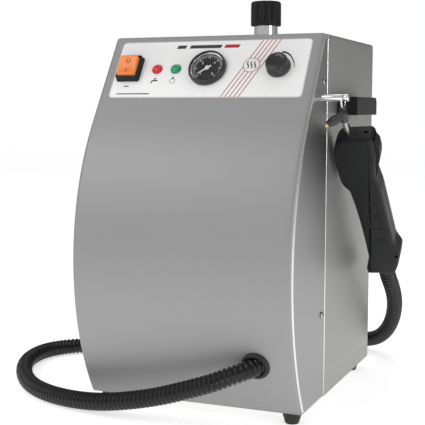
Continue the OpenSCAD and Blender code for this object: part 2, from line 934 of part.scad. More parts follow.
module grip_screws() {
    color("gray")
    at_handpiece()
    for (at = grip_screw_at())
        translate([at[0], grip_t / 2 - 3, at[1]])
            rotate([-90, 0, 0])
                union() {
                    cylinder(h = 1.8, r = 2.8);
                    translate([0, 0, -grip_t + 8]) cylinder(h = grip_t - 8 + e, r = 1.5);
                }
}

module thumb_lever() {
    color("black")
    at_handpiece()
    difference() {
        rotate([90, 0, 0])
            linear_extrude(lever_w, center = true)
                polygon(lever_outline);
        bar_y([lever_pivot[0], -lever_w, lever_pivot[1]], pin_d / 2 + 0.05, 2 * lever_w);
        bar_y([lever_pivot[0], -3.4, lever_pivot[1]], 3.5, 6.8);
        for (z = [190, 196, 202])
            translate([31.6, 0, z]) rotate([90, 0, 0]) cylinder(h = 30, r = 1, center = true);
    }
}

module lever_pin() {
    color("silver")
    at_handpiece()
        bar_y([lever_pivot[0], -grip_t / 2 + 1.6, lever_pivot[1]], pin_d / 2, grip_t - 3.2);
}

// Torsion spring wound round the lever pin
module lever_spring() {
    turns = 4;
    steps = 12;
    coil = [
        for (i = [0 : turns * steps])
            [
                lever_pivot[0] + 2.6 * cos(i * 360 / steps),
                -2.6 + 5.2 * i / (turns * steps),
                lever_pivot[1] + 2.6 * sin(i * 360 / steps)
            ]
    ];
    color("silver")
    at_handpiece()
        tube(coil, 0.5, 8);
}

module microswitch() {
    color("darkslategray")
    at_handpiece()
    difference() {
        translate([6.8, -3.4, plunger_z - 10]) cube([8, 6.8, 20]);
        translate([8.8, -1.55, plunger_z - 2.55]) cube([10, 3.1, 5.1]);
    }
}

module switch_plunger() {
    color("white")
    at_handpiece()
        translate([12, -1.5, plunger_z - 2.5]) cube([9.7, 3, 5]);
}

module steam_union() {
    color("goldenrod")
    at_handpiece()
    union() {
        translate([pipe_at[0], pipe_at[1], 1]) cylinder(h = 198, r = 3.5);
        translate([pipe_at[0] - 1, pipe_at[1], 194]) cylinder(h = 16, r = 6.8);
    }
}

module lance_tube() {
    color("silver")
    at_handpiece()
        rod(lance_foot - 0.14 * (nozzle_joint - lance_foot), nozzle_joint * 0.9 + lance_foot * 0.1,
            lance_d / 2);
}

module nozzle_elbow() {
    color("dimgray")
    difference() {
        union() {
            at_handpiece() {
                rod(nozzle_joint * 0.82 + lance_foot * 0.18, nozzle_joint, lance_d / 2 + 1.4);
                rod(nozzle_joint, nozzle_joint + nozzle_dir * 0.34, 4.6);
            }
            translate(hook_point) sphere(5.4);
            translate(hook_point + [-3.4, -1.2, 0]) cube([6.8, 2.4, 10]);
        }
        at_handpiece()
            rod(lance_foot, nozzle_joint * 0.901 + lance_foot * 0.099, lance_d / 2 + 0.02);
        bar_y([hang_x, -peg_front - 3, ring_z - ring_r], ring_wire / 2 + 0.4, 6);
    }
}

module nozzle_body() {
    color("dimgray")
    at_handpiece()
    difference() {
        d = unit(nozzle_dir);
        union() {
            rod(nozzle_joint + d * 7.5, nozzle_joint + d * 13, 5.3);
            translate(nozzle_joint + d * 13)
                rotate([0, acos(d[2]), atan2(d[1], d[0])])
                    cylinder(h = 6, r1 = 5.3, r2 = 3.4);
        }
        rod(nozzle_joint, nozzle_joint + d * 25, 1.6);
    }
}

module nozzle_tip() {
    color("goldenrod")
    at_handpiece()
    difference() {
        d = unit(nozzle_dir);
        rod(nozzle_joint + d * 19, nozzle_joint + d * 22.5, 2.4);
        rod(nozzle_joint + d * 18, nozzle_joint + d * 25, 0.9);
    }
}

module hang_ring() {
    color("silver")
    translate([hang_x, -peg_front, ring_z])
        rotate([0, 90, 0])
            rotate_extrude()
                translate([ring_r, 0]) circle(ring_wire / 2, $fn = 24);
}

// ---------- boiler and plumbing ----------

module boiler_tank() {
    color("silver")
    translate([0, boiler_y, 0])
    difference() {
        rotate_extrude($fn = 72)
            polygon(tank_profile(0));
        rotate_extrude($fn = 72)
            polygon(tank_profile(boiler_wall));
        translate([0, 0, boiler_z - 5]) cylinder(h = 20, r = element_flange_r - 9);
        translate([fill_x, fill_y - boiler_y, boiler_top - 30]) cylinder(h = 40, d = collar_d + 0.1);
    }
}

function tank_profile(d) = [
    [0, boiler_z + d], [boiler_r * 0.72, boiler_z + d],
    [boiler_r - d, boiler_z + 20 + d * 0.5], [boiler_r - d, boiler_top - 20 - d * 0.5],
    [boiler_r * 0.86, boiler_top - d], [0, boiler_top - d]
];

module boiler_legs() {
    color("gray")
    for (x = [-1, 1], y = [-1, 1])
        translate([x * leg_x(), boiler_y + y * leg_x(), base_t + 0.05])
            difference() {
                cylinder(h = boiler_z + 18 - base_t, r = 5);
                translate([-x * leg_x(), -y * leg_x(), -base_t - 0.05])
                    rotate_extrude($fn = 72)
                        polygon(tank_profile(-0.1));
            }
}

module heating_element() {
    color("goldenrod")
    translate([0, boiler_y, 0])
    union() {
        translate([0, 0, boiler_z - 8.1]) cylinder(h = 8, r = element_flange_r);
        translate([0, 0, boiler_z - 1]) cylinder(h = 8, r = element_flange_r - 9.2);
        for (a = [0, 120, 240])
            rotate(a) translate([14, 0, boiler_z + 5]) cylinder(h = element_l, r = 4);
        translate([0, 0, boiler_z - 26]) cylinder(h = 19, r = 14);
    }
}

module pressure_switch() {
    at = [-0.51 * boiler_r, boiler_y + 0.27 * boiler_r];
    color("royalblue")
    union() {
        translate([at[0], at[1], boiler_top + 0.05]) cylinder(h = 14, r = 6);
        translate([at[0] - 16, at[1] - 16, boiler_top + 14]) cube([32, 32, 26]);
    }
}

function valve_at() = [-0.405 * boiler_r, boiler_y - 0.405 * boiler_r];

module steam_valve() {
    at = valve_at();
    color("goldenrod")
    union() {
        translate([at[0], at[1], boiler_top + 0.05]) cylinder(h = 12, r = 6);
        translate([at[0] - 11, at[1] - 11, boiler_top + 12]) cube([22, 22, 18]);
        translate([at[0], at[1], boiler_top + 30 - e]) cylinder(h = 22, r = 12);
    }
}

// From the solenoid valve to the needle valve, and on to the hose
module steam_pipe() {
    high = boiler_top + 21;
    bore = [
        knob_at[0],
        -top_lip - knob_at[1] * sin(panel_tilt) + (spindle_l - 2) * cos(panel_tilt),
        body_h - knob_at[1] * cos(panel_tilt) - (spindle_l - 2) * sin(panel_tilt)
    ];
    down = bore + [20, 0, 0];
    foot = outlet + hose_start[0];
    color("peru") {
        pipe_run([
            [valve_at()[0], valve_at()[1] - 11.2, high], [valve_at()[0], boiler_front + 3, high],
            [bore[0] - 34, bore[1], bore[2]], bore - [8.2, 0, 0]
        ], 4);
        pipe_run([
            bore + [8.2, 0, 0], down, [down[0], down[1], outlet_z + 33],
            foot + [6.6, 13.2, 2.6], foot + [0.3, 0.6, 0.1]
        ], 4);
    }
}

// Ball valve through the back plate, its spout pointing back
module drain_valve() {
    riser_y = boiler_y + element_flange_r + 10;
    body_y = rear_depth - back_inset - 14;
    color("goldenrod")
    difference() {
        union() {
            bar_y([drain_at[0], riser_y - 5, drain_at[1]], 5, body_y - riser_y + 6);
            bar_y([drain_at[0], body_y, drain_at[1]], 8, spout_y() - body_y);
            bar_y([drain_at[0], spout_y() - 1, drain_at[1]], spout_r, spout_l + 1);
            translate([drain_at[0], drain_stem_y(), drain_at[1]]) cylinder(h = 11, r = 4);
            translate([drain_at[0], drain_stem_y(), drain_at[1]]) cylinder(h = 15, r = 2);
            translate([drain_at[0], riser_y, drain_at[1]])
                cylinder(h = boiler_z - drain_at[1] + 0.2, r = 4);
        }
        bar_y([drain_at[0], body_y + 20, drain_at[1]], spout_bore_r, 60);
        translate([0, boiler_y, 0]) rotate_extrude($fn = 72) polygon(tank_profile(-0.1));
    }
}

function spout_y() = rear_depth - back_inset + 16;
function drain_stem_y() = rear_depth - back_inset + 9;

// Quarter-turn lever: across the spout when closed
module drain_lever() {
    color("red")
    translate([drain_at[0], drain_stem_y(), drain_at[1] + 11.4])
    difference() {
        union() {
            cylinder(h = 3, r = 6.5);
            translate([0, -4, 0.2]) cube([34, 8, 2.6]);
            translate([34, 0, 0.2]) cylinder(h = 2.6, r = 4);
        }
        translate([0, 0, -1]) cylinder(h = 6, r = 2.06);
    }
}

// Three-blade appliance inlet
module power_inlet() {
    face_y = rear_depth - back_inset + 0.05;
    color("black")
    translate([inlet_at[0], face_y, inlet_at[1]])
    difference() {
        union() {
            translate([-inlet_size[0] / 2 - 3, 0, -inlet_size[1] / 2 - 3])
                cube([inlet_size[0] + 6, 2.5, inlet_size[1] + 6]);
            translate([-inlet_size[0] / 2 + 2, -24, -inlet_size[1] / 2 + 2])
                cube([inlet_size[0] - 4, 24 + e, inlet_size[1] - 4]);
        }
        difference() {
            translate([-inlet_size[0] / 2 + 3, -18, -inlet_size[1] / 2 + 3])
                cube([inlet_size[0] - 6, 30, inlet_size[1] - 6]);
            for (pin = [[-7, 2], [7, 2], [0, -2]])
                translate([pin[0] - 1, -19, pin[1] - 2]) cube([2, 15, 4]);
        }
    }
}

front_shell();
rear_cover();
back_plate();
base_plate();
cover_screws_right();
cover_screws_left();
back_screws();
panel_label();
foot_front_left();
foot_front_right();
foot_rear_left();
foot_rear_right();
foot_screws();
rocker_frame();
rocker_button();
lamp_red();
lamp_green();
gauge_case();
gauge_ring();
gauge_dial();
gauge_needle();
gauge_glass();
gauge_socket();
steam_knob();
knob_spindle();
needle_valve();
filler_collar();
cap_grip();
cap_plug();
cap_seal();
hanger_peg();
peg_nut();
carry_handle_right();
carry_handle_left();
handle_screws();
hose_grommet();
steam_hose();
grip_front();
grip_rear();
grip_screws();
thumb_lever();
lever_pin();
lever_spring();
microswitch();
switch_plunger();
steam_union();
lance_tube();
nozzle_elbow();
nozzle_body();
nozzle_tip();
hang_ring();
boiler_tank();
boiler_legs();
heating_element();
pressure_switch();
steam_valve();
steam_pipe();
drain_valve();
drain_lever();
power_inlet();
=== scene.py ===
"""Bench steam cleaner: satin steel cabinet, control panel, handpiece and hose.

Most pieces are surfaces worked out with numpy; the rest are CAD nodes from model.glb, some with their edges
rolled. All sit in the cabinet's own frame:
metres, x to the right, -y out of the front, z up, z = 0 at the base plate.
"""

import logging
from dataclasses import dataclass
from enum import Enum
from math import atan2, cos, pi, radians, sin, tan

import bmesh
import bpy
import numpy as np
from mathutils import Matrix, Vector


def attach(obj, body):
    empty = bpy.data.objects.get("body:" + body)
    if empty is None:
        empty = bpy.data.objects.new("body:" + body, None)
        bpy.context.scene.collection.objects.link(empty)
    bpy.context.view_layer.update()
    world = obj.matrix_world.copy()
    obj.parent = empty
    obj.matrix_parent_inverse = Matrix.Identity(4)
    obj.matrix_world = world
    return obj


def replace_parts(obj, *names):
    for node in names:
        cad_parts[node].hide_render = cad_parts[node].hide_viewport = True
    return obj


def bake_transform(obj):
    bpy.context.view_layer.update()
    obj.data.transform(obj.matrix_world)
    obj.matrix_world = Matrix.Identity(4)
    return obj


MM = 0.001
LOG = logging.getLogger("steam_cleaner")
Points = np.ndarray


# ---------------------------------------------------------------- geometry


def unit(v: Points) -> Points:
    """Rows of v scaled to length one."""
    v = np.asarray(v, float)
    return v / np.linalg.norm(v, axis=-1, keepdims=True)


def rounded_line(points: list[tuple[float, float]], radius: float, steps: int = 6) -> Points:
    """A 2D line with its corners rounded.

    Each inner corner P is left at A and joined again at B, both at most the
    radius away, by the quadratic (1-t)^2 A + 2t(1-t) P + t^2 B.

    Args:
        points: corners of the line, in order.
        radius: how far from a corner the rounding starts.
        steps: points in each rounding.

    Returns:
        The rounded line, one point a row.
    """
    p = np.asarray(points, float)
    back, ahead = p[:-2] - p[1:-1], p[2:] - p[1:-1]
    lb = np.linalg.norm(back, axis=1, keepdims=True)
    la = np.linalg.norm(ahead, axis=1, keepdims=True)
    r = np.minimum(radius, np.minimum(lb, la) * 0.49)
    a, b, c = p[1:-1] + back / lb * r, p[1:-1] + ahead / la * r, p[1:-1]
    t = np.linspace(0, 1, steps)[None, :, None]
    bend = (1 - t) ** 2 * a[:, None] + 2 * t * (1 - t) * c[:, None] + t**2 * b[:, None]
    return np.concatenate([p[:1], bend.reshape(-1, 2), p[-1:]])


def rounded_loop(points: list[tuple[float, float]], radius: float, steps: int = 6) -> Points:
    """A closed 2D outline with its corners rounded as in rounded_line."""
    p = list(map(tuple, points))
    return rounded_line([p[-1]] + p + [p[0]], radius, steps)[1:-1]


def finish_mesh(obj: bpy.types.Object, angle: float = 35.0) -> bpy.types.Object:
    """Shades the piece smooth, with edges sharper than the angle kept crisp."""
    mesh = obj.data
    mesh.polygons.foreach_set("use_smooth", np.ones(len(mesh.polygons), bool))
    mesh.set_sharp_from_angle(angle=radians(angle))
    mesh.update()
    return obj


def new_piece(name: str, verts: Points, faces: list, angle: float = 35.0,
              closed: bool = True) -> bpy.types.Object:
    """Makes an object at the origin from points and faces.

    Args:
        name: the piece's name.
        verts: points, one a row, in metres.
        faces: index tuples or an index array.
        angle: shading angle kept crisp, in degrees.
        closed: whether it is a closed form, whose faces are turned outwards.

    Returns:
        The new object, linked to the scene.
    """
    mesh = bpy.data.meshes.new(name)
    mesh.from_pydata(np.asarray(verts).reshape(-1, 3).tolist(), [],
                     faces.tolist() if isinstance(faces, np.ndarray) else faces)
    obj = bpy.data.objects.new(name, mesh)
    bpy.context.scene.collection.objects.link(obj)
    if closed:
        bm = bmesh.new()
        bm.from_mesh(mesh)
        bmesh.ops.remove_doubles(bm, verts=bm.verts, dist=1e-6)
        bmesh.ops.recalc_face_normals(bm, faces=bm.faces)
        bm.to_mesh(mesh)
        bm.free()
    return finish_mesh(obj, angle)


def grid_faces(rows: int, cols: int, wrap_rows: bool = False, wrap_cols: bool = False) -> Points:
    """Quads of a grid of points: each joins (i, j), (i, j+1), (i+1, j+1), (i+1, j)."""
    i = np.arange(rows if wrap_rows else rows - 1)[:, None]
    j = np.arange(cols if wrap_cols else cols - 1)[None, :]
    i2, j2 = (i + 1) % rows, (j + 1) % cols
    quads = np.stack(np.broadcast_arrays(i * cols + j, i * cols + j2, i2 * cols + j2, i2 * cols + j), -1)
    return quads.reshape(-1, 4)


def tube_piece(name: str, rings: Points, capped: bool = True, looped: bool = False,
               angle: float = 35.0) -> bpy.types.Object:
    """A closed form from rings of points, (ring, point round it, xyz).

    Args:
        name: the piece's name.
        rings: grid of points; the second direction closes on itself.
        capped: whether the first and last ring are filled.
        looped: whether the last ring joins the first, as in a torus.
        angle: shading angle kept crisp.

    Returns:
        The piece.
    """
    n, m = rings.shape[:2]
    faces = [tuple(q) for q in grid_faces(n, m, looped, True)]
    if capped and not looped:
        faces += [tuple(range(m)), tuple(range((n - 1) * m, n * m))]
    return new_piece(name, rings.reshape(-1, 3), faces, angle)


def joined(name: str, objs: list[bpy.types.Object], angle: float = 35.0) -> bpy.types.Object:
    """One piece from several, whose own objects are removed."""
    bm = bmesh.new()
    for o in objs:
        bm.from_mesh(o.data)
        bpy.data.objects.remove(o)
    mesh = bpy.data.meshes.new(name)
    bm.to_mesh(mesh)
    bm.free()
    obj = bpy.data.objects.new(name, mesh)
    bpy.context.scene.collection.objects.link(obj)
    return finish_mesh(obj, angle)


def carved(obj: bpy.types.Object, cutters: list[bpy.types.Object], angle: float = 35.0) -> bpy.types.Object:
    """The piece with each cutter's form taken out of it; the cutters are removed."""
    for c in cutters:
        mod = obj.modifiers.new("cut", "BOOLEAN")
        mod.object, mod.operation, mod.solver = c, "DIFFERENCE", "EXACT"
    bpy.context.view_layer.update()
    shape = bpy.data.meshes.new_from_object(obj.evaluated_get(bpy.context.evaluated_depsgraph_get()))
    obj.modifiers.clear()
    obj.data = shape
    for c in cutters:
        bpy.data.objects.remove(c)
    return finish_mesh(obj, angle)


def softened(node: str, name: str, width: float, angle: float = 30.0, segments: int = 2) -> bpy.types.Object:
    """A copy of a CAD node, merged, with its sharp edges rolled over.

    Args:
        node: the CAD node's name.
        name: the piece's name.
        width: bevel width in metres.
        angle: edges sharper than this are rolled.
        segments: facets across the roll.

    Returns:
        The copy, which replaces the node.
    """
    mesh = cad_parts[node].data.copy()
    obj = bpy.data.objects.new(name, mesh)
    bpy.context.scene.collection.objects.link(obj)
    bm = bmesh.new()
    bm.from_mesh(mesh)
    bmesh.ops.remove_doubles(bm, verts=bm.verts, dist=2e-6)
    bmesh.ops.dissolve_limit(bm, angle_limit=radians(1.0), verts=bm.verts, edges=bm.edges)
    bm.to_mesh(mesh)
    bm.free()
    mesh.materials.clear()
    mod = obj.modifiers.new("roll", "BEVEL")
    mod.width, mod.segments, mod.limit_method, mod.angle_limit = width, segments, "ANGLE", radians(angle)
    mod.harden_normals = False
    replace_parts(finish_mesh(obj, angle + 8), node)
    return obj


@dataclass(frozen=True)
class Place:
    """A local frame: its origin and the directions of its x, y and z."""

    origin: tuple[float, float, float]
    x: tuple[float, float, float]
    y: tuple[float, float, float]
    z: tuple[float, float, float]

    def at(self, local: Points) -> Points:
        """Local points, in metres, as points of the cabinet's frame."""
        axes = np.array([self.x, self.y, self.z])
        return np.asarray(self.origin) + np.asarray(local, float) @ axes

    def moved(self, x: float, y: float, z: float) -> "Place":
        """The same frame with its origin moved by local x, y and z."""
        return Place(tuple(self.at([x, y, z])), self.x, self.y, self.z)


WORLD = Place((0, 0, 0), (1, 0, 0), (0, 1, 0), (0, 0, 1))
PANEL_TILT = radians(33)
PANEL = Place((0, -9.5 * MM, 415 * MM), (1, 0, 0),
              (0, -sin(PANEL_TILT), -cos(PANEL_TILT)), (0, -cos(PANEL_TILT), sin(PANEL_TILT)))


def turned(name: str, profile: Points, place: Place, sides: int = 64, angle: float = 30.0,
           capped: bool = True) -> bpy.types.Object:
    """A lathe form: the profile's (radius, height) carried round local z.

    Args:
        name: the piece's name.
        profile: radius and height along the outline, in metres.
        place: local frame.
        sides: facets round the axis.
        angle: shading angle kept crisp.
        capped: True fills the outline's ends; False joins its last point to
            its first, which makes a ring.

    Returns:
        The piece.
    """
    a = np.linspace(0, 2 * pi, sides, endpoint=False)
    p = np.asarray(profile, float)
    local = np.stack([p[:, :1] * np.cos(a), p[:, :1] * np.sin(a), p[:, 1:] + 0 * a], -1)
    return tube_piece(name, place.at(local), capped, looped=not capped, angle=angle)


def fluted(name: str, heights: Points, radii: Points, depth: Points, count: int, sharp: float,
           place: Place, sides: int = 288) -> bpy.types.Object:
    """A grip with flutes: radius = R(h) - depth(h) * (0.5 - 0.5 cos(count a))^sharp.

    Args:
        name: the piece's name.
        heights: heights of the rings.
        radii: outer radius at each height.
        depth: depth of the flutes at each height.
        count: number of flutes.
        sharp: how narrow the flutes are.
        place: local frame.
        sides: points round each ring.

    Returns:
        The piece.
    """
    a = np.linspace(0, 2 * pi, sides, endpoint=False)[None]
    wave = (0.5 - 0.5 * np.cos(count * a)) ** sharp
    r = np.asarray(radii)[:, None] - np.asarray(depth)[:, None] * wave
    local = np.stack([r * np.cos(a), r * np.sin(a), np.asarray(heights)[:, None] + 0 * a], -1)
    return tube_piece(name, place.at(local), angle=40)


def slab(name: str, outline: Points, low: float, high: float, roll: float, place: Place,
         angle: float = 35.0) -> bpy.types.Object:
    """A plate from a closed outline, its upper edge rolled over.

    The outline's local normal n moves a ring in by roll (1 - cos u) and up by
    roll sin u, for u from 0 to a right angle.

    Args:
        name: the piece's name.
        outline: closed outline, (x, y) rows in metres, turning left.
        low: local z of the underside.
        high: local z of the top.
        roll: radius of the rolled edge.
        place: local frame.
        angle: shading angle kept crisp.

    Returns:
        The piece.
    """
    o = np.asarray(outline, float)
    t = unit(np.roll(o, -1, 0) - np.roll(o, 1, 0))
    inward = np.stack([-t[:, 1], t[:, 0]], -1)
    u = np.linspace(0, pi / 2, 5)
    sets = [(0.0, low)] + [(roll * (1 - cos(k)), high - roll + roll * sin(k)) for k in u]
    rings = np.stack([np.column_stack([o + inward * d, np.full(len(o), z)]) for d, z in sets])
    return tube_piece(name, place.at(rings), angle=angle)


def prints(name: str, shapes: list[Points], height: float, place: Place) -> bpy.types.Object:
    """Thin printed areas: each shape a flat face with a 0.06 mm edge under it."""
    parts = [slab(f"{name}_{i}", s if area(s) > 0 else s[::-1], height, height + 0.06 * MM, 0.01 * MM, place)
             for i, s in enumerate(shapes)]
    return joined(name, parts)


def area(o: Points) -> float:
    """Signed area of a closed outline: half the sum of cross products."""
    x, y = np.asarray(o)[:, 0], np.asarray(o)[:, 1]
    return 0.5 * float(np.sum(x * np.roll(y, -1) - np.roll(x, -1) * y))


def disc(x: float, y: float, r: float, n: int = 48) -> Points:
    """Outline of a circle."""
    a = np.linspace(0, 2 * pi, n, endpoint=False)
    return np.column_stack([x + r * np.cos(a), y + r * np.sin(a)])


def band(line: Points, widths: Points) -> Points:
    """Outline of a stroke along a line, with a width at each of its points."""
    p = np.asarray(line, float)
    t = unit(np.gradient(p, axis=0))
    n = np.column_stack([-t[:, 1], t[:, 0]]) * np.asarray(widths, float)[:, None] / 2
    return np.concatenate([p + n, (p - n)[::-1]])


# ---------------------------------------------------------------- finishes


class Grain(Enum):
    """Which way a finish is brushed or drawn."""

    NONE = (1.0, 1.0, 1.0)
    ALONG_X = (0.02, 1.0, 1.0)
    ALONG_Y = (1.0, 0.02, 1.0)
    ALONG_Z = (1.0, 1.0, 0.02)


@dataclass(frozen=True)
class Finish:
    """One finish: a principled surface whose colour, gloss and bump vary.

    A coarse noise shades the colour between two tones and a fine noise, drawn
    out along the grain, varies the roughness and the height.
    """

    name: str
    tone: tuple[float, float, float]
    second: tuple[float, float, float]
    metallic: float = 0.0
    rough: tuple[float, float] = (0.4, 0.5)
    fine: float = 900.0
    coarse: float = 14.0
    grain: Grain = Grain.NONE
    bump: float = 0.1
    depth: float = 0.00005
    coat: float = 0.0
    clear: float = 0.0
    ior: float = 1.5
    glow: float = 0.0
    slot: str = ""

    def material(self) -> bpy.types.Material:
        """The finish as a material, made once."""
        found = bpy.data.materials.get(self.name)
        if found:
            return found
        mat = bpy.data.materials.new(self.name)
        mat.use_nodes = True
        tree = mat.node_tree
        tree.nodes.clear()
        out = tree.nodes.new("ShaderNodeOutputMaterial")
        shader = tree.nodes.new("ShaderNodeBsdfPrincipled")
        tree.links.new(shader.outputs[0], out.inputs[0])
        coords = tree.nodes.new("ShaderNodeTexCoord")
        stretch = tree.nodes.new("ShaderNodeMapping")
        stretch.inputs["Scale"].default_value = self.grain.value
        tree.links.new(coords.outputs["Object"], stretch.inputs["Vector"])
        fine = self.noise(tree, stretch.outputs[0], self.fine, 4.0)
        coarse = self.noise(tree, coords.outputs["Object"], self.coarse, 3.0)
        ramp = tree.nodes.new("ShaderNodeValToRGB")
        ramp.color_ramp.elements[0].position, ramp.color_ramp.elements[1].position = 0.32, 0.68
        ramp.color_ramp.elements[0].color = (*self.tone, 1)
        ramp.color_ramp.elements[1].color = (*self.second, 1)
        blend = tree.nodes.new("ShaderNodeMix")
        blend.inputs[0].default_value = 0.5
        tree.links.new(fine, blend.inputs[2])
        tree.links.new(coarse, blend.inputs[3])
        tree.links.new(blend.outputs[0], ramp.inputs[0])
        tree.links.new(ramp.outputs[0], shader.inputs["Base Color"])
        spread = tree.nodes.new("ShaderNodeMapRange")
        spread.inputs["From Min"].default_value, spread.inputs["From Max"].default_value = 0.3, 0.7
        spread.inputs["To Min"].default_value, spread.inputs["To Max"].default_value = self.rough
        tree.links.new(blend.outputs[0], spread.inputs["Value"])
        tree.links.new(spread.outputs[0], shader.inputs["Roughness"])
        relief = tree.nodes.new("ShaderNodeBump")
        relief.inputs["Strength"].default_value = self.bump
        relief.inputs["Distance"].default_value = self.depth
        tree.links.new(fine, relief.inputs["Height"])
        tree.links.new(relief.outputs[0], shader.inputs["Normal"])
        shader.inputs["Metallic"].default_value = self.metallic
        shader.inputs["Coat Weight"].default_value = self.coat
        shader.inputs["Coat Roughness"].default_value = 0.12
        shader.inputs["Transmission Weight"].default_value = self.clear
        shader.inputs["IOR"].default_value = self.ior
        shader.inputs["Emission Color"].default_value = (*self.tone, 1)
        shader.inputs["Emission Strength"].default_value = self.glow
        return mat

    @staticmethod
    def noise(tree: bpy.types.NodeTree, vector: bpy.types.NodeSocket, scale: float,
              detail: float) -> bpy.types.NodeSocket:
        """A noise texture's value at that scale."""
        node = tree.nodes.new("ShaderNodeTexNoise")
        node.inputs["Scale"].default_value = scale
        node.inputs["Detail"].default_value = detail
        tree.links.new(vector, node.inputs["Vector"])
        return node.outputs[0]

    def dress(self, *objs: bpy.types.Object) -> None:
        """Gives the finish to pieces."""
        for o in objs:
            o.data.materials.clear()
            o.data.materials.append(self.material())

    def dress_nodes(self, *names: str) -> None:
        """Gives the finish to CAD nodes, through their objects' material slots."""
        for n in names:
            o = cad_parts[n]
            for s in o.material_slots:
                s.link = "OBJECT"
                s.material = self.material()


# Darker copy of the front sheet, put on its bent-back cheeks as painted shade.
STEEL_CHEEK = Finish("satin_sheet_cheek", (0.30, 0.30, 0.30), (0.36, 0.36, 0.36), 1.0, (0.34, 0.44),
                     2600, 3, Grain.ALONG_Z, 0.18, 0.00003, slot="brushed_sheet")
# Bright copy of the sheet, put on the front shell's bends and the rear cover's seam lip as a painted highlight.
STEEL_EDGE = Finish("rolled_edge", (0.78, 0.78, 0.77), (0.86, 0.86, 0.85), 1.0, (0.25, 0.35),
                    1800, 30, Grain.ALONG_Z, 0.1, 0.00003, slot="brushed_sheet")
STEEL_FRONT = Finish("satin_sheet_front", (0.33, 0.331, 0.331), (0.38, 0.381, 0.381), 0.9, (0.52, 0.62),
                     2600, 3, Grain.ALONG_Z, 0.18, 0.00003, slot="brushed_sheet")
STEEL_SIDE = Finish("satin_sheet_side", (0.36, 0.36, 0.355), (0.42, 0.42, 0.413), 0.9, (0.44, 0.54),
                    2600, 3, Grain.ALONG_Z, 0.15, 0.00003, slot="brushed_sheet")
STEEL_BACK = Finish("satin_sheet_back", (0.42, 0.42, 0.415), (0.50, 0.50, 0.49), 1.0, (0.38, 0.5),
                    2200, 4, Grain.ALONG_X, 0.2, 0.00003, slot="brushed_sheet")
POLISHED = Finish("polished_steel", (0.66, 0.63, 0.59), (0.76, 0.73, 0.69), 1.0, (0.16, 0.26),
                  1500, 40, Grain.ALONG_X, 0.08, 0.00002, slot="polished_steel")
LANCE = Finish("drawn_steel", (0.55, 0.53, 0.50), (0.68, 0.66, 0.62), 1.0, (0.18, 0.3),
               1800, 60, Grain.ALONG_Y, 0.1, 0.00002, slot="polished_steel")
SCREWS = Finish("plated_screws", (0.32, 0.31, 0.30), (0.46, 0.45, 0.43), 1.0, (0.22, 0.38),
                1400, 120, Grain.NONE, 0.12, 0.00003, slot="screw_steel")
HAND_BLACK = Finish("handpiece_black", (0.006, 0.0065, 0.007), (0.011, 0.0115, 0.0125), 0.0, (0.34, 0.50),
                    2200, 30, Grain.NONE, 0.28, 0.00005, ior=1.33, slot="black_plastic")
TRIM_BLACK = Finish("moulded_black", (0.007, 0.007, 0.008), (0.013, 0.013, 0.015), 0.0, (0.34, 0.48),
                    2400, 40, Grain.NONE, 0.22, 0.00005, ior=1.33, slot="black_plastic")
GLOSS_BLACK = Finish("gloss_black", (0.005, 0.005, 0.0055), (0.010, 0.010, 0.011), 0.0, (0.2, 0.32),
                     1800, 50, Grain.NONE, 0.12, 0.00003, ior=1.36, slot="gloss_black")
HOSE_BLACK = Finish("hose_black", (0.004, 0.004, 0.0045), (0.009, 0.009, 0.0095), 0.0, (0.20, 0.34),
                    1500, 60, Grain.NONE, 0.15, 0.00004, ior=1.4, slot="gloss_black")
RUBBER = Finish("foot_rubber", (0.007, 0.007, 0.007), (0.014, 0.0135, 0.013), 0.0, (0.55, 0.72),
                1600, 70, Grain.NONE, 0.35, 0.00008, slot="black_rubber")
LABEL = Finish("printed_film", (0.86, 0.86, 0.855), (0.90, 0.90, 0.895), 0.0, (0.22, 0.3),
               900, 18, Grain.NONE, 0.03, 0.00002, coat=0.2, slot="label_print")
INK_RED = Finish("red_ink", (0.38, 0.010, 0.014), (0.44, 0.016, 0.02), 0.0, (0.3, 0.4),
                 1500, 60, Grain.NONE, 0.05, slot="label_print")
INK_BLACK = Finish("black_ink", (0.02, 0.02, 0.024), (0.035, 0.035, 0.04), 0.0, (0.3, 0.4),
                   1500, 60, Grain.NONE, 0.05, slot="label_print")
INK_EDGE = Finish("grey_ink", (0.30, 0.30, 0.31), (0.36, 0.36, 0.37), 0.0, (0.3, 0.4),
                  1500, 60, Grain.NONE, 0.05, slot="label_print")
ORANGE = Finish("orange_lens", (0.72, 0.040, 0.001), (0.82, 0.058, 0.003), 0.0, (0.3, 0.38),
                1200, 50, Grain.NONE, 0.05, ior=1.3, glow=0.04, slot="orange_lens")
ORANGE_MARK = Finish("rocker_marks", (0.16, 0.010, 0.003), (0.20, 0.016, 0.004), 0.0, (0.4, 0.5),
                     1200, 50, Grain.NONE, 0.05, slot="orange_lens")
RED_LENS = Finish("red_lens", (0.22, 0.003, 0.008), (0.42, 0.008, 0.018), 0.0, (0.08, 0.14),
                  1000, 160, Grain.NONE, 0.06, coat=0.3, clear=0.1, slot="red_lens")
GREEN_LENS = Finish("green_lens", (0.002, 0.065, 0.030), (0.004, 0.15, 0.075), 0.0, (0.08, 0.14),
                    1000, 160, Grain.NONE, 0.06, coat=0.3, clear=0.1, slot="green_lens")
DIAL = Finish("dial_black", (0.012, 0.012, 0.013), (0.02, 0.02, 0.022), 0.0, (0.5, 0.6),
              1800, 60, Grain.NONE, 0.08, slot="dial_black")
WHITE = Finish("white_print", (0.82, 0.82, 0.81), (0.88, 0.88, 0.87), 0.0, (0.4, 0.5),
               1400, 60, Grain.NONE, 0.05, slot="white_plastic")
GLASS = Finish("gauge_glass", (0.97, 0.98, 0.98), (1.0, 1.0, 1.0), 0.0, (0.02, 0.04),
               600, 30, Grain.NONE, 0.01, clear=1.0, ior=1.04, slot="clear_glass")
BRASS = Finish("machined_brass", (0.62, 0.42, 0.16), (0.74, 0.54, 0.25), 1.0, (0.22, 0.34),
               1500, 90, Grain.NONE, 0.12, slot="brass")
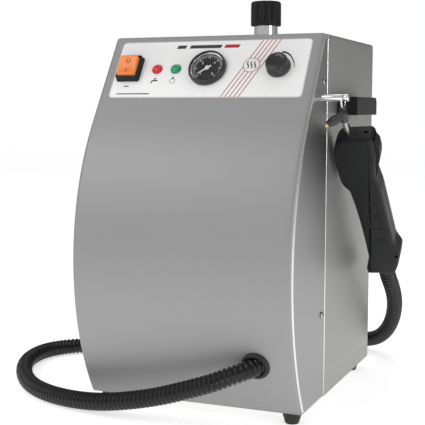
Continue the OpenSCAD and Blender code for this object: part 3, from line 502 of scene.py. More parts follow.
NOZZLE = Finish("blackened_metal", (0.035, 0.034, 0.034), (0.07, 0.068, 0.066), 0.6, (0.28, 0.42),
                1500, 150, Grain.NONE, 0.2, slot="nozzle_dark")
COPPER = Finish("drawn_copper", (0.60, 0.27, 0.14), (0.72, 0.36, 0.2), 1.0, (0.25, 0.4),
                1200, 50, Grain.NONE, 0.1)
TANK = Finish("pickled_tank", (0.45, 0.45, 0.44), (0.58, 0.57, 0.56), 1.0, (0.4, 0.6), 700, 20,
              Grain.NONE, 0.15)
SEAL = Finish("silicone_seal", (0.40, 0.03, 0.02), (0.5, 0.05, 0.03), 0.0, (0.5, 0.6), 900, 60,
              Grain.NONE, 0.1)
RED_PLASTIC = Finish("red_lever", (0.45, 0.012, 0.012), (0.55, 0.02, 0.02), 0.0, (0.3, 0.42), 1500,
                     60, Grain.NONE, 0.15, slot="red_plastic")
BLUE_PLASTIC = Finish("blue_switch", (0.03, 0.08, 0.28), (0.05, 0.12, 0.36), 0.0, (0.35, 0.5), 1500,
                      60, Grain.NONE, 0.15)
FLOOR = Finish("pale_floor", (0.93, 0.93, 0.93), (0.95, 0.95, 0.95), 0.0, (0.75, 0.85), 30, 2,
               Grain.NONE, 0.02, glow=0.66)


# ---------------------------------------------------------------- cabinet


@dataclass
class Cabinet:
    """The bulged front shell and the rear cover behind the seam."""

    half: float = 130 * MM
    height: float = 415 * MM
    depth: float = 214 * MM
    top_lip: float = 9.5 * MM
    base_front: float = 79 * MM
    drop: float = 100 * MM
    sheet: float = 1.2 * MM
    bend: float = 4.5 * MM
    seam: float = 0.8 * MM

    def front_line(self) -> Points:
        """Side profile (y, z) from the bottom edge up the arc, the slant and the lip.

        The arc has the radius that leaves the slant without a kink and ends at
        the bottom front edge; the top edge is rounded.
        """
        ty, tz = -self.top_lip - self.drop * tan(PANEL_TILT), self.height - self.drop
        chord = np.array([-self.base_front - ty, -tz])
        inward = np.array([cos(PANEL_TILT), -sin(PANEL_TILT)])
        radius = chord @ chord / (2 * chord @ inward)
        centre = np.array([ty, tz]) + radius * inward
        low = atan2(-centre[1], -self.base_front - centre[0]) % (2 * pi)
        a = np.linspace(low, pi - PANEL_TILT, 90)
        arc = centre + radius * np.column_stack([np.cos(a), np.sin(a)])
        slant = np.linspace(arc[-1], [-self.top_lip, self.height], 30)[1:-1]
        edge = rounded_line([tuple(slant[-1]), (-self.top_lip, self.height), (-2 * MM, self.height),
                             (-0.1 * MM, self.height - 1.2 * MM)], 3 * MM, 7)[1:]
        return np.concatenate([arc, slant, edge])

    def front(self) -> bpy.types.Object:
        """The front shell: the profile's points p with normal n, bent over at the sides.

        Across the width a row runs x from one bend to the other on p, round a
        quarter turn (p - n r (1 - cos u), x + r sin u), and back to the seam.
        """
        p = self.front_line()
        t = unit(np.gradient(p, axis=0))
        n = np.column_stack([-t[:, 1], t[:, 0]])
        r = self.bend
        flat = self.half - r
        u = np.linspace(0, pi / 2, 8)
        x_mid = np.linspace(-flat, flat, 40)
        cols = [np.column_stack([np.full(len(p), x), p]) for x in x_mid]
        right = [np.column_stack([np.full(len(p), flat + r * sin(k)), p - n * r * (1 - cos(k))]) for k in u[1:]]
        inner = right[-1][:, 1:]
        seam = np.column_stack([np.full(len(p), -0.05 * MM), inner[:, 1]])
        for k in np.linspace(0, 1, 14)[1:]:
            mid = inner * (1 - k) + seam * k
            right.append(np.column_stack([np.full(len(p), self.half), mid]))
        last = right[-1].copy()
        last[:, 0] -= 1.0 * MM
        last[:, 1] += 0.05 * MM
        right.append(last)
        mirror = [c * np.array([-1, 1, 1]) for c in right]
        grid = np.stack(mirror[::-1] + cols + right, 1)
        grid[..., 2] = np.clip(grid[..., 2], 0.05 * MM, self.height)
        obj = new_piece("front_shell_skin", grid.reshape(-1, 3), grid_faces(*grid.shape[:2]), 40, closed=False)
        wall = obj.modifiers.new("wall", "SOLIDIFY")
        wall.thickness, wall.offset = self.sheet, -1
        STEEL_FRONT.dress(obj)
        # The cheek faces get a darker copy of the sheet as painted shade, and three columns on each bend get a
        # bright copy as a painted highlight.
        obj.data.materials.append(STEEL_CHEEK.material())
        cols_total = grid.shape[1] - 1
        col = np.tile(np.arange(cols_total), grid.shape[0] - 1)
        side = np.minimum(col, cols_total - 1 - col)
        obj.data.materials.append(STEEL_EDGE.material())
        slot = np.where(side < 14, 1, np.where(side < 17, 2, 0))
        obj.data.polygons.foreach_set("material_index", slot.astype(np.int32))
        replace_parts(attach(obj, "cabinet"), "front_shell")
        return obj

    def rear(self) -> bpy.types.Object:
        """The rear cover: a rounded upside-down U carried from seam to back."""
        h, w = self.height, self.half
        line = rounded_line([(-w, 0.05 * MM), (-w, h), (w, h), (w, 0.05 * MM)], 5 * MM, 9)
        dense = [np.linspace(a, b, 12, endpoint=False) if np.hypot(*(b - a)) > 0.05 else a[None]
                 for a, b in zip(line[:-1], line[1:])]
        line = np.concatenate(dense + [line[-1:]])
        t = unit(np.gradient(line, axis=0))
        inward = np.column_stack([t[:, 1], -t[:, 0]])
        rows = [(self.seam + 0.1 * MM, 1.0 * MM), (self.seam, 0.4 * MM), (self.seam + 0.4 * MM, 0.0)]
        rows += [(y, 0.0) for y in np.linspace(3 * MM, self.depth - 0.4 * MM, 30)]
        rows += [(self.depth, 0.4 * MM), (self.depth - 0.1 * MM, 1.0 * MM)]
        grid = np.stack([np.column_stack([line[:, 0] + inward[:, 0] * d, np.full(len(line), y),
                                          line[:, 1] + inward[:, 1] * d]) for y, d in rows])
        obj = new_piece("rear_cover_skin", grid.reshape(-1, 3), grid_faces(*grid.shape[:2]), 40, closed=False)
        wall = obj.modifiers.new("wall", "SOLIDIFY")
        wall.thickness, wall.offset = self.sheet, -1
        STEEL_SIDE.dress(obj)
        # The three face rows at the seam lip get the bright sheet as a painted highlight.
        obj.data.materials.append(STEEL_EDGE.material())
        row = np.repeat(np.arange(grid.shape[0] - 1), grid.shape[1] - 1)
        obj.data.polygons.foreach_set("material_index", (row < 3).astype(np.int32))
        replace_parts(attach(obj, "cabinet"), "rear_cover")
        return obj

    def build(self) -> None:
        """Makes the sheet-metal pieces."""
        self.front()
        self.rear()
        STEEL_BACK.dress_nodes("back_plate", "base_plate")


@dataclass
class PanScrew:
    """A pan-head screw with a cross recess."""

    name: str
    centre: tuple[float, float, float]
    outward: tuple[float, float, float]
    radius: float = 4 * MM
    rise: float = 2.2 * MM

    def build(self, body: str = "cabinet") -> bpy.types.Object:
        """Makes the domed head and cuts the cross into it.

        Height over the radius q is rise (1 - (q / radius)^4) ^ 0.5.
        """
        z = Vector(self.outward).normalized()
        x = z.orthogonal().normalized()
        place = Place(self.centre, tuple(x), tuple(z.cross(x)), tuple(z))
        q = np.linspace(1, 0.02, 12)
        dome = np.column_stack([self.radius * q, self.rise * np.sqrt(1 - q**4 * 0.9)])
        head = turned(self.name, np.concatenate([[[self.radius * 0.98, -0.1 * MM]], dome]), place, 40)
        long, wide = self.radius * 0.55, self.radius * 0.14
        cuts = [slab(f"{self.name}_cut{i}", np.array([(-a, -b), (a, -b), (a, b), (-a, b)]),
                     self.rise * 0.45, self.rise * 1.5, 0.02 * MM, place)
                for i, (a, b) in enumerate([(long, wide), (wide, long)])]
        head = carved(head, cuts, 30)
        SCREWS.dress(head)
        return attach(head, body)


@dataclass
class Screws:
    """All visible screw heads."""

    cheek: tuple[tuple[float, float], ...] = ((-15, 361), (-12, 98))

    def build(self) -> None:
        """Places the heads on cheeks and back plate."""
        for side, node in ((1, "cover_screws_right"), (-1, "cover_screws_left")):
            heads = [PanScrew(f"cheek_screw_{side}_{i}", (side * 130.0 * MM, y * MM, z * MM),
                              (side, 0, 0)).build()
                     for i, (y, z) in enumerate(self.cheek)]
            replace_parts(heads[0], node)
        heads = [PanScrew(f"back_screw_{i}", (x * MM, 208.0 * MM, z * MM), (0, 1, 0), 3.6 * MM).build()
                 for i, (x, z) in enumerate([(-120, 30), (120, 30), (-120, 385), (120, 385)])]
        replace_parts(heads[0], "back_screws")
        SCREWS.dress_nodes("foot_screws", "handle_screws", "peg_nut", "boiler_legs", "lever_spring",
                           "lever_pin", "grip_screws")


@dataclass
class Feet:
    """Tapered rubber feet with a rolled lower edge and a flat washer band."""

    height: float = 15 * MM
    top: float = 12 * MM
    bottom: float = 7.5 * MM

    def build(self) -> None:
        """Carries the foot's outline round each foot's axis."""
        for name, x, y in (("front_left", -112.5, -62), ("front_right", 112.5, -62),
                           ("rear_left", -112.5, 190), ("rear_right", 112.5, 190)):
            line = rounded_line([(5 * MM, -self.height + 6 * MM), (5 * MM, -self.height),
                                 (self.bottom, -self.height), (self.top - 0.7 * MM, -2.6 * MM),
                                 (self.top, -2.2 * MM), (self.top, -0.05 * MM), (5 * MM, -0.05 * MM)],
                                1.2 * MM, 5)
            foot = turned(f"foot_{name}_rubber", line, WORLD.moved(x * MM, y * MM, 0), 48, capped=False)
            RUBBER.dress(foot)
            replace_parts(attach(foot, "cabinet"), f"foot_{name}")


# ---------------------------------------------------------------- control panel


@dataclass
class PanelLabel:
    """The white printed film with its border, stripes, arc and pictograms."""

    half: float = 117.5 * MM
    top: float = 7.5 * MM
    bottom: float = 85.5 * MM
    corner: float = 6 * MM
    face: float = 0.45 * MM

    def outline(self, inset: float) -> Points:
        """The film's rounded outline, inset by that much."""
        h, a, b = self.half - inset, self.top + inset, self.bottom - inset
        return rounded_loop([(-h, a), (h, a), (h, b), (-h, b)], self.corner - inset, 10)

    def stripes(self) -> list[Points]:
        """Five slanted bars from the film's lower edge to its upper edge."""
        low = np.array([23.0, 28.4, 33.7, 39.1, 44.4]) * MM
        high = np.array([59.4, 64.7, 69.9, 74.9, 80.2]) * MM
        w = 0.55 * MM
        lo, hi = self.bottom - 0.3 * MM, self.top + 0.3 * MM
        return [np.array([(a - w, lo), (a + w, lo), (b + w, hi), (b - w, hi)]) for a, b in zip(low, high)]

    def arc(self) -> Points:
        """The setting arc round the knob: thick at the top, thin at the right."""
        pts = np.array([(84.3, 25.4), (88.0, 25.9), (91.4, 27.4), (94.4, 29.9), (97.0, 33.1),
                        (99.2, 36.6), (100.9, 40.2), (102.0, 43.6), (102.6, 46.6)]) * MM
        return band(pts, np.linspace(2.6, 0.45, len(pts)) * MM)

    def pictograms(self) -> list[Points]:
        """Plain signs: a tap under the red lamp, a flask under the green one."""
        t, f = np.array([-64.5, 62.5]), np.array([-41.0, 62.5])
        shapes = [
            [(-4.6, 3.2), (-3.2, 3.2), (-3.2, 0.6), (-1.2, -1.0), (4.6, -1.0), (4.6, 0.8), (-0.6, 0.8),
             (-1.8, 1.8), (-1.8, 3.4), (-4.6, 3.4)],
            [(0.4, -1.0), (0.4, -2.6), (-1.0, -2.6), (-1.0, -3.5), (3.0, -3.5), (3.0, -2.6), (1.6, -2.6),
             (1.6, -1.0)],
        ]
        tap = [(np.array(s) + t) * MM for s in shapes]
        ring = [band(np.concatenate([disc(0, 0.6, 3.1, 30), disc(0, 0.6, 3.1, 30)[:1]]) * MM + f * MM,
                     np.full(31, 0.55 * MM))]
        neck = [(np.array([(-1.3, -2.3), (-1.3, -3.9), (-1.9, -3.9), (-1.9, -4.5), (1.9, -4.5), (1.9, -3.9),
                           (1.3, -3.9), (1.3, -2.3)]) + f) * MM]
        return tap + ring + neck

    def steam_sign(self, x: float, y: float) -> list[Points]:
        """Three rising wavy strokes: side = 1.1 sin(2 pi t)."""
        t = np.linspace(0, 1, 22)
        return [band(np.column_stack([x + dx + 1.1 * np.sin(2 * pi * t), y + 5.2 - 10.4 * t]) * MM,
                     1.25 * MM * np.sin(pi * (0.12 + 0.76 * t)) + 0.3 * MM) for dx in (-4.2, 0.0, 4.2)]

    def heading(self) -> list[Points]:
        """Slanted bars where a maker would set a name."""
        return [np.array([(a, 18.2), (b, 18.2), (b + 1.6, 13.6), (a + 1.6, 13.6)]) * MM
                for a, b in ((-46, -35), (-30, 9))]

    def build(self) -> None:
        """Makes the film and every print on it, from the film up."""
        film = slab("panel_film", self.outline(0), 0.02 * MM, self.face, 0.15 * MM, PANEL)
        LABEL.dress(film)
        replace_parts(film, "panel_label")
        f = self.face
        edge = prints("panel_border", [self.outline(0.35 * MM)], f - 0.055 * MM, PANEL)
        INK_EDGE.dress(edge)
        face = prints("panel_face", [self.outline(0.8 * MM)], f - 0.045 * MM, PANEL)
        LABEL.dress(face)
        red = prints("panel_stripes", self.stripes(), f, PANEL)
        red_ring = prints("panel_ring", [disc(51.5 * MM, 42.5 * MM, 9.9 * MM)], f + 0.04 * MM, PANEL)
        rule = prints("panel_red_rule", [np.array([(13, 18.2), (31, 18.2), (32.6, 13.6), (14.6, 13.6)]) * MM],
                      f + 0.01 * MM, PANEL)
        INK_RED.dress(red, red_ring, rule)
        white = prints("panel_ring_face", [disc(51.5 * MM, 42.5 * MM, 9.1 * MM)], f + 0.07 * MM, PANEL)
        LABEL.dress(white)
        black = prints("panel_signs", [self.arc()] + self.pictograms() + self.heading(), f + 0.01 * MM, PANEL)
        steam = prints("panel_steam_sign", self.steam_sign(51.5, 42.5), f + 0.10 * MM, PANEL)
        rules = prints("panel_small_rules", [
            np.array([(-108, 81.2), (-66, 81.2), (-65.6, 79.8), (-107.6, 79.8)]) * MM,
            np.array([(-101.5, 70.6), (-95, 70.6), (-94.6, 69.2), (-101.1, 69.2)]) * MM], f + 0.01 * MM, PANEL)
        INK_BLACK.dress(black, steam, rules)
        for o in (film, edge, face, red, red_ring, rule, white, black, steam, rules):
            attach(o, "cabinet")


@dataclass
class RockerSwitch:
    """Black frame with an orange see-saw cap tilted to its pressed side."""

    centre: tuple[float, float] = (-98 * MM, 47 * MM)
    width: float = 29 * MM
    length: float = 33 * MM
    rise: float = 8 * MM
    tilt: float = radians(7)

    def cap_place(self) -> Place:
        """The cap's own frame: on its axle, turned by the tilt about local x."""
        c, s = cos(self.tilt), sin(self.tilt)
        y, z = np.array(PANEL.y), np.array(PANEL.z)
        return Place(tuple(PANEL.at([*self.centre, self.rise / 2])), PANEL.x,
                     tuple(y * c - z * s), tuple(z * c + y * s))

    def frame_piece(self) -> bpy.types.Object:
        """The frame: two rolled rings of a rounded rectangle, open in the middle."""
        place = PANEL.moved(*self.centre, 0)

        def ring(w: float, l: float, r: float, z: float) -> Points:
            o = rounded_loop([(-w / 2, -l / 2), (w / 2, -l / 2), (w / 2, l / 2), (-w / 2, l / 2)], r, 8)
            return np.column_stack([o, np.full(len(o), z)])

        w, l, h = self.width, self.length, self.rise
        steps = [(0, 3, 0.5), (0, 3, 2.2), (0.5, 3, 2.9), (1.2, 2.8, 3.1), (1.6, 2.6, 3.4),
                 (1.6, 2.6, h / MM - 1), (2.0, 2.4, h / MM - 0.3), (2.8, 2.2, h / MM), (4.0, 1.4, h / MM),
                 (4.6, 1.0, h / MM - 0.5),
                 (4.9, 0.6, 1.4), (5.0, 0.6, 1.2)]
        rings = np.stack([ring(w - a * MM, l - (a + (2 if a > 3.5 else 0)) * MM, r * MM, z * MM)
                          for a, r, z in steps])
        obj = tube_piece("rocker_bezel", place.at(rings), True, angle=40)
        TRIM_BLACK.dress(obj)
        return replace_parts(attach(obj, "cabinet"), "rocker_frame")

    def cap(self) -> list[bpy.types.Object]:
        """The cap: height over y is 6.8 + 1.5 |y/l|^1.5, with a rolled edge, and its marks."""
        place = self.cap_place()
        w, l = 23.4 * MM / 2, 24.6 * MM / 2
        rim = rounded_loop([(-w, -l), (w, -l), (w, l), (-w, l)], 1.6 * MM, 6)
        scales = [(1.0, -0.4), (1.0, 0.0), (0.995, 0.6), (0.97, 0.9), (0.9, 1.0), (0.6, 1.0), (0.3, 1.0),
                  (0.02, 1.0)]
        rings = []
        for k, up in scales:
            o = rim * k
            top = (6.6 + 1.6 * np.abs(o[:, 1] / l) ** 1.6) * MM
            z = np.where(up < 0, -0.4 * MM, top * up) if up != 0.9 else top - 0.25 * MM
            rings.append(np.column_stack([o, z + 0 * o[:, 0]]))
        body = tube_piece("rocker_cap", place.at(np.stack(rings)), angle=50)
        ORANGE.dress(body)
        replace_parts(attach(body, "rocker"), "rocker_button")
        circle = disc(0, -6.2, 2.6, 30)
        ring = band(np.concatenate([circle, circle[:1]]) * MM, np.full(31, 0.7 * MM))
        bar = np.array([(-0.35, 4.2), (0.35, 4.2), (0.35, 8.8), (-0.35, 8.8)]) * MM
        marks = [prints(f"rocker_{what}_mark", [line], 7.5 * MM, place)
                 for what, line in (("ring", ring), ("bar", bar))]
        ORANGE_MARK.dress(*marks)
        for m in marks:
            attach(m, "rocker")
        return [body, *marks]

    def build(self) -> None:
        """Makes frame and cap."""
        self.frame_piece()
        self.cap()


@dataclass
class Lamp:
    """An indicator lamp: thin collar, domed lens with a faceted middle."""

    name: str
    x: float
    finish: Finish
    y: float = 47 * MM
    radius: float = 6.5 * MM

    def build(self) -> None:
        """Carries the collar's and the lens's outlines round the lamp's axis."""
        place = PANEL.moved(self.x, self.y, 0)
        collar = turned(f"{self.name}_collar", rounded_line(
            [(4.6 * MM, 0.5 * MM), (self.radius, 0.5 * MM), (self.radius, 1.5 * MM), (5.4 * MM, 2.0 * MM),
             (4.6 * MM, 1.2 * MM)], 0.4 * MM, 4), place, 48, capped=False)
        r = np.linspace(5.3, 0.05, 14)
        lens = turned(f"{self.name}_lens", np.concatenate([
            [(5.3 * MM, 0.8 * MM)],
            np.column_stack([r, 2.2 + 2.6 * np.sqrt(1 - (r / 5.4) ** 2)]) * MM]), place, 48)
        core = fluted(f"{self.name}_core", np.array([0.5, 2.6, 3.2]) * MM, np.array([4.4, 3.2, 0.2]) * MM,
                      np.array([0.5, 0.4, 0.0]) * MM, 8, 1.0, place, 64)
        self.finish.dress(collar, lens, core)
        for o in (collar, lens, core):
            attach(o, "cabinet")
        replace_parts(lens, self.name)


@dataclass
class PressureGauge:
    """Black-cased gauge with a bright inner ring, a black dial and a white needle."""

    centre: tuple[float, float] = (0.0, 47.5 * MM)
    radius: float = 22.5 * MM
    rest: float = radians(216)

    def place(self) -> Place:
        """The gauge's frame, its y up the slope."""
        p = PANEL.moved(*self.centre, 0)
        return Place(p.origin, p.x, tuple(-np.array(p.y)), p.z)

    def scale(self) -> list[Points]:
        """Tick marks round three quarters of the dial, longer at every fifth, and an arc."""
        out = []
        for i in range(31):
            a = radians(225 - i * 9)
            long = i % 5 == 0
            r0, r1, w = (13.2 if long else 14.8), 16.6, (0.42 if long else 0.2)
            d, n = np.array([cos(a), sin(a)]), np.array([-sin(a), cos(a)])
            out.append(np.array([d * r0 - n * w, d * r1 - n * w, d * r1 + n * w, d * r0 + n * w]) * MM)
        a = np.radians(np.linspace(225, -45, 60))
        out.append(band(np.column_stack([np.cos(a), np.sin(a)]) * 17.2 * MM, np.full(60, 0.35 * MM)))
        return out

    def figures(self, place: Place) -> bpy.types.Object:
        """The dial's numbers, as thin raised figures set upright inside the ticks."""
        made = []
        for i, text in enumerate("0246"):
            a = radians(225 - i * 90)
            curve = bpy.data.curves.new(f"figure_{text}", "FONT")
            curve.body, curve.size, curve.align_x, curve.align_y = text, 4.6 * MM, "CENTER", "CENTER"
            curve.extrude, curve.resolution_u = 0.04 * MM, 3
            src = bpy.data.objects.new(f"figure_{text}", curve)
            bpy.context.scene.collection.objects.link(src)
            bpy.context.view_layer.update()
            mesh = bpy.data.meshes.new_from_object(src.evaluated_get(bpy.context.evaluated_depsgraph_get()))
            bpy.data.objects.remove(src)
            obj = bpy.data.objects.new(f"figure_{text}_mesh", mesh)
            bpy.context.scene.collection.objects.link(obj)
            p = place.moved(10.2 * MM * cos(a), 10.2 * MM * sin(a), 2.46 * MM)
            turn = Matrix([(*c, 0) for c in (p.x, p.y, p.z)] + [(0, 0, 0, 1)]).transposed()
            mesh.transform(Matrix.Translation(p.origin) @ turn)
            made.append(obj)
        return joined("gauge_figures", made)

    def build(self) -> None:
        """Makes case, rings, dial, prints and needle."""
        place = self.place()
        r = self.radius
        case = turned("gauge_shell", rounded_line(
            [(15 * MM, 0.6 * MM), (r, 0.6 * MM), (r, 4.8 * MM), (r - 0.9 * MM, 7.2 * MM),
             (r - 2.0 * MM, 8 * MM), (r - 3.2 * MM, 7.5 * MM), (r - 3.6 * MM, 2.2 * MM),
             (15 * MM, 1.2 * MM)], 0.9 * MM, 6), place, 96, capped=False)
        bright = turned("gauge_bright_ring", rounded_line(
            [(19.4 * MM, 3.0 * MM), (19.5 * MM, 5.6 * MM), (18.6 * MM, 5.4 * MM), (18.1 * MM, 2.4 * MM)],
            0.3 * MM, 4), place, 96, capped=False)
        dial = turned("gauge_dial_face", np.array([(18.9, 1.7), (18.9, 2.4), (0.05, 2.4)]) * MM, place, 96)
        GLOSS_BLACK.dress(case)
        POLISHED.dress(bright)
        DIAL.dress(dial)
        marks = prints("gauge_scale", self.scale(), 2.38 * MM, place)
        figures = self.figures(place)
        a = self.rest
        d, n = np.array([cos(a), sin(a)]), np.array([-sin(a), cos(a)])
        pts = [d * -5 - n * 1.1, d * 4 - n * 0.9, d * 12.6 - n * 0.4, d * 13.5, d * 12.6 + n * 0.4,
               d * 4 + n * 0.9, d * -5 + n * 1.1]
        hand = slab("gauge_hand", np.array(pts) * MM, 3.3 * MM, 3.9 * MM, 0.15 * MM, place)
        hub = turned("gauge_hub", rounded_line(
            [(2.6 * MM, 3.2 * MM), (2.6 * MM, 4.6 * MM), (0.05 * MM, 4.9 * MM)], 0.5 * MM, 5), place, 40)
        WHITE.dress(marks, figures, hand, hub)
        for o in (case, bright, dial, marks, figures):
            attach(o, "cabinet")
        for o in (hand, hub):
            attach(o, "needle")
        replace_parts(case, "gauge_case", "gauge_ring")
        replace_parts(dial, "gauge_dial")
        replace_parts(hand, "gauge_needle")
        GLASS.dress_nodes("gauge_glass")
        BRASS.dress_nodes("gauge_socket")


@dataclass
class ControlKnob:
    """Black knob with fine flutes, a flat top with a shallow ring."""

    centre: tuple[float, float] = (84.5 * MM, 46.5 * MM)
    radius: float = 13 * MM

    def build(self) -> None:
        """Carries the fluted outline up the knob's axis."""
        place = PANEL.moved(*self.centre, 0)
        r = self.radius / MM
        rows = np.array([(1.05, r + 0.6, 0.0), (1.3, r + 0.75, 0.0), (3.4, r + 0.75, 0.0), (3.9, r + 0.3, 0.0),
                         (4.3, r + 0.15, 0.7), (4.8, r + 0.1, 1.0), (11.6, r - 0.1, 1.0), (12.5, r - 0.4, 0.8),
                         (13.3, r - 1.2, 0.3), (13.7, r - 2.2, 0.0), (13.9, r - 3.4, 0.0), (13.5, r - 4.2, 0.0),
                         (13.45, r - 9, 0.0), (13.45, 0.1, 0.0)])
        knob = fluted("steam_knob_grip", rows[:, 0] * MM, rows[:, 1] * MM, rows[:, 2] * MM, 26, 0.8, place, 312)
        GLOSS_BLACK.dress(knob)
        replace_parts(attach(knob, "knob"), "steam_knob")
        BRASS.dress_nodes("knob_spindle", "needle_valve")


# ---------------------------------------------------------------- filler


@dataclass
class Filler:
    """The bright filler collar and the black fluted cap."""

    x: float = 35.5 * MM
    y: float = 60 * MM
    deck: float = 415 * MM

    def build(self) -> None:
        """Makes collar, ring at its foot and cap."""
        place = WORLD.moved(self.x, self.y, self.deck)
        collar = turned("filler_collar_neck", rounded_line(
            [(10 * MM, -60 * MM), (14 * MM, -60 * MM), (14 * MM, 20.6 * MM), (13.4 * MM, 21 * MM),
             (10 * MM, 21 * MM)],
            0.5 * MM, 5), place, 72, capped=False)
        a = radians(-85)
        hole = Place(tuple(place.at([12 * MM * cos(a), 12 * MM * sin(a), 11 * MM])), (-sin(a), cos(a), 0),
                     (0, 0, 1), (cos(a), sin(a), 0))
        collar = carved(collar, [turned("neck_hole", np.array([(1.5, -1.0), (1.5, 5.0)]) * MM, hole, 24)])
        foot = turned("filler_foot_ring", rounded_line(
            [(14 * MM, 0.0), (15.4 * MM, 0.0), (15.4 * MM, 1.1 * MM), (14 * MM, 1.3 * MM)],
            0.4 * MM, 4), place, 72, capped=False)
        POLISHED.dress(collar, foot)
        rows = np.array([(15.2, 14.8, 0.0), (15.0, 17.6, 0.0), (15.5, 18.15, 0.2), (17.5, 18.25, 0.3),
                         (18.5, 18.25, 1.4), (20.0, 18.25, 2.2), (40.4, 18.15, 2.3), (42.0, 17.9, 1.9),
                         (43.0, 17.2, 1.0), (43.6, 16.2, 0.3), (43.9, 14.0, 0.0), (43.6, 12.4, 0.0),
                         (43.6, 0.1, 0.0)])
        cap = fluted("filler_cap_grip", rows[:, 0] * MM, rows[:, 1] * MM, rows[:, 2] * MM, 12, 3.0, place, 288)
        TRIM_BLACK.dress(cap)
        for o in (collar, foot):
            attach(o, "cabinet")
        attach(cap, "cap")
        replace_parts(collar, "filler_collar")
        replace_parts(cap, "cap_grip")
        BRASS.dress_nodes("cap_plug")
        SEAL.dress_nodes("cap_seal")


# ---------------------------------------------------------------- peg and handles


@dataclass
class HangerPeg:
    """Polished peg with a groove near its end for the wire ring."""

    y: float = -34 * MM
    z: float = 343 * MM
    start: float = 130 * MM
    length: float = 34 * MM
    groove: float = 157.5 * MM

    def build(self) -> None:
        """Carries the peg's outline round its axis."""
        place = Place((self.start, self.y, self.z), (0, 1, 0), (0, 0, 1), (1, 0, 0))
        g = self.groove - self.start
        thick, thin, end = 4.0 * MM, 2.8 * MM, self.length
        line = rounded_line([(0.05 * MM, 0.0), (thick, 0.0), (thick, g - 1.4 * MM), (thin, g - 1.3 * MM),
                             (thin, g + 1.3 * MM), (thick, g + 1.4 * MM), (thick, end - 0.8 * MM),
                             (3.2 * MM, end), (0.05 * MM, end)], 0.35 * MM, 4)
        peg = turned("hanger_peg_rod", line, place, 48)
        POLISHED.dress(peg)
        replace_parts(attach(peg, "cabinet"), "hanger_peg")


@dataclass
class CarryHandles:
    """Moulded side handles: a rounded bar with turned-in ends."""

    roll: float = 2.2 * MM

    def build(self) -> None:
        """Rolls the edges of each handle's block over."""
        for side in ("right", "left"):
            obj = softened(f"carry_handle_{side}", f"carry_handle_{side}_moulding", self.roll, 25, 4)
            TRIM_BLACK.dress(obj)
            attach(obj, "cabinet")


# ---------------------------------------------------------------- handpiece


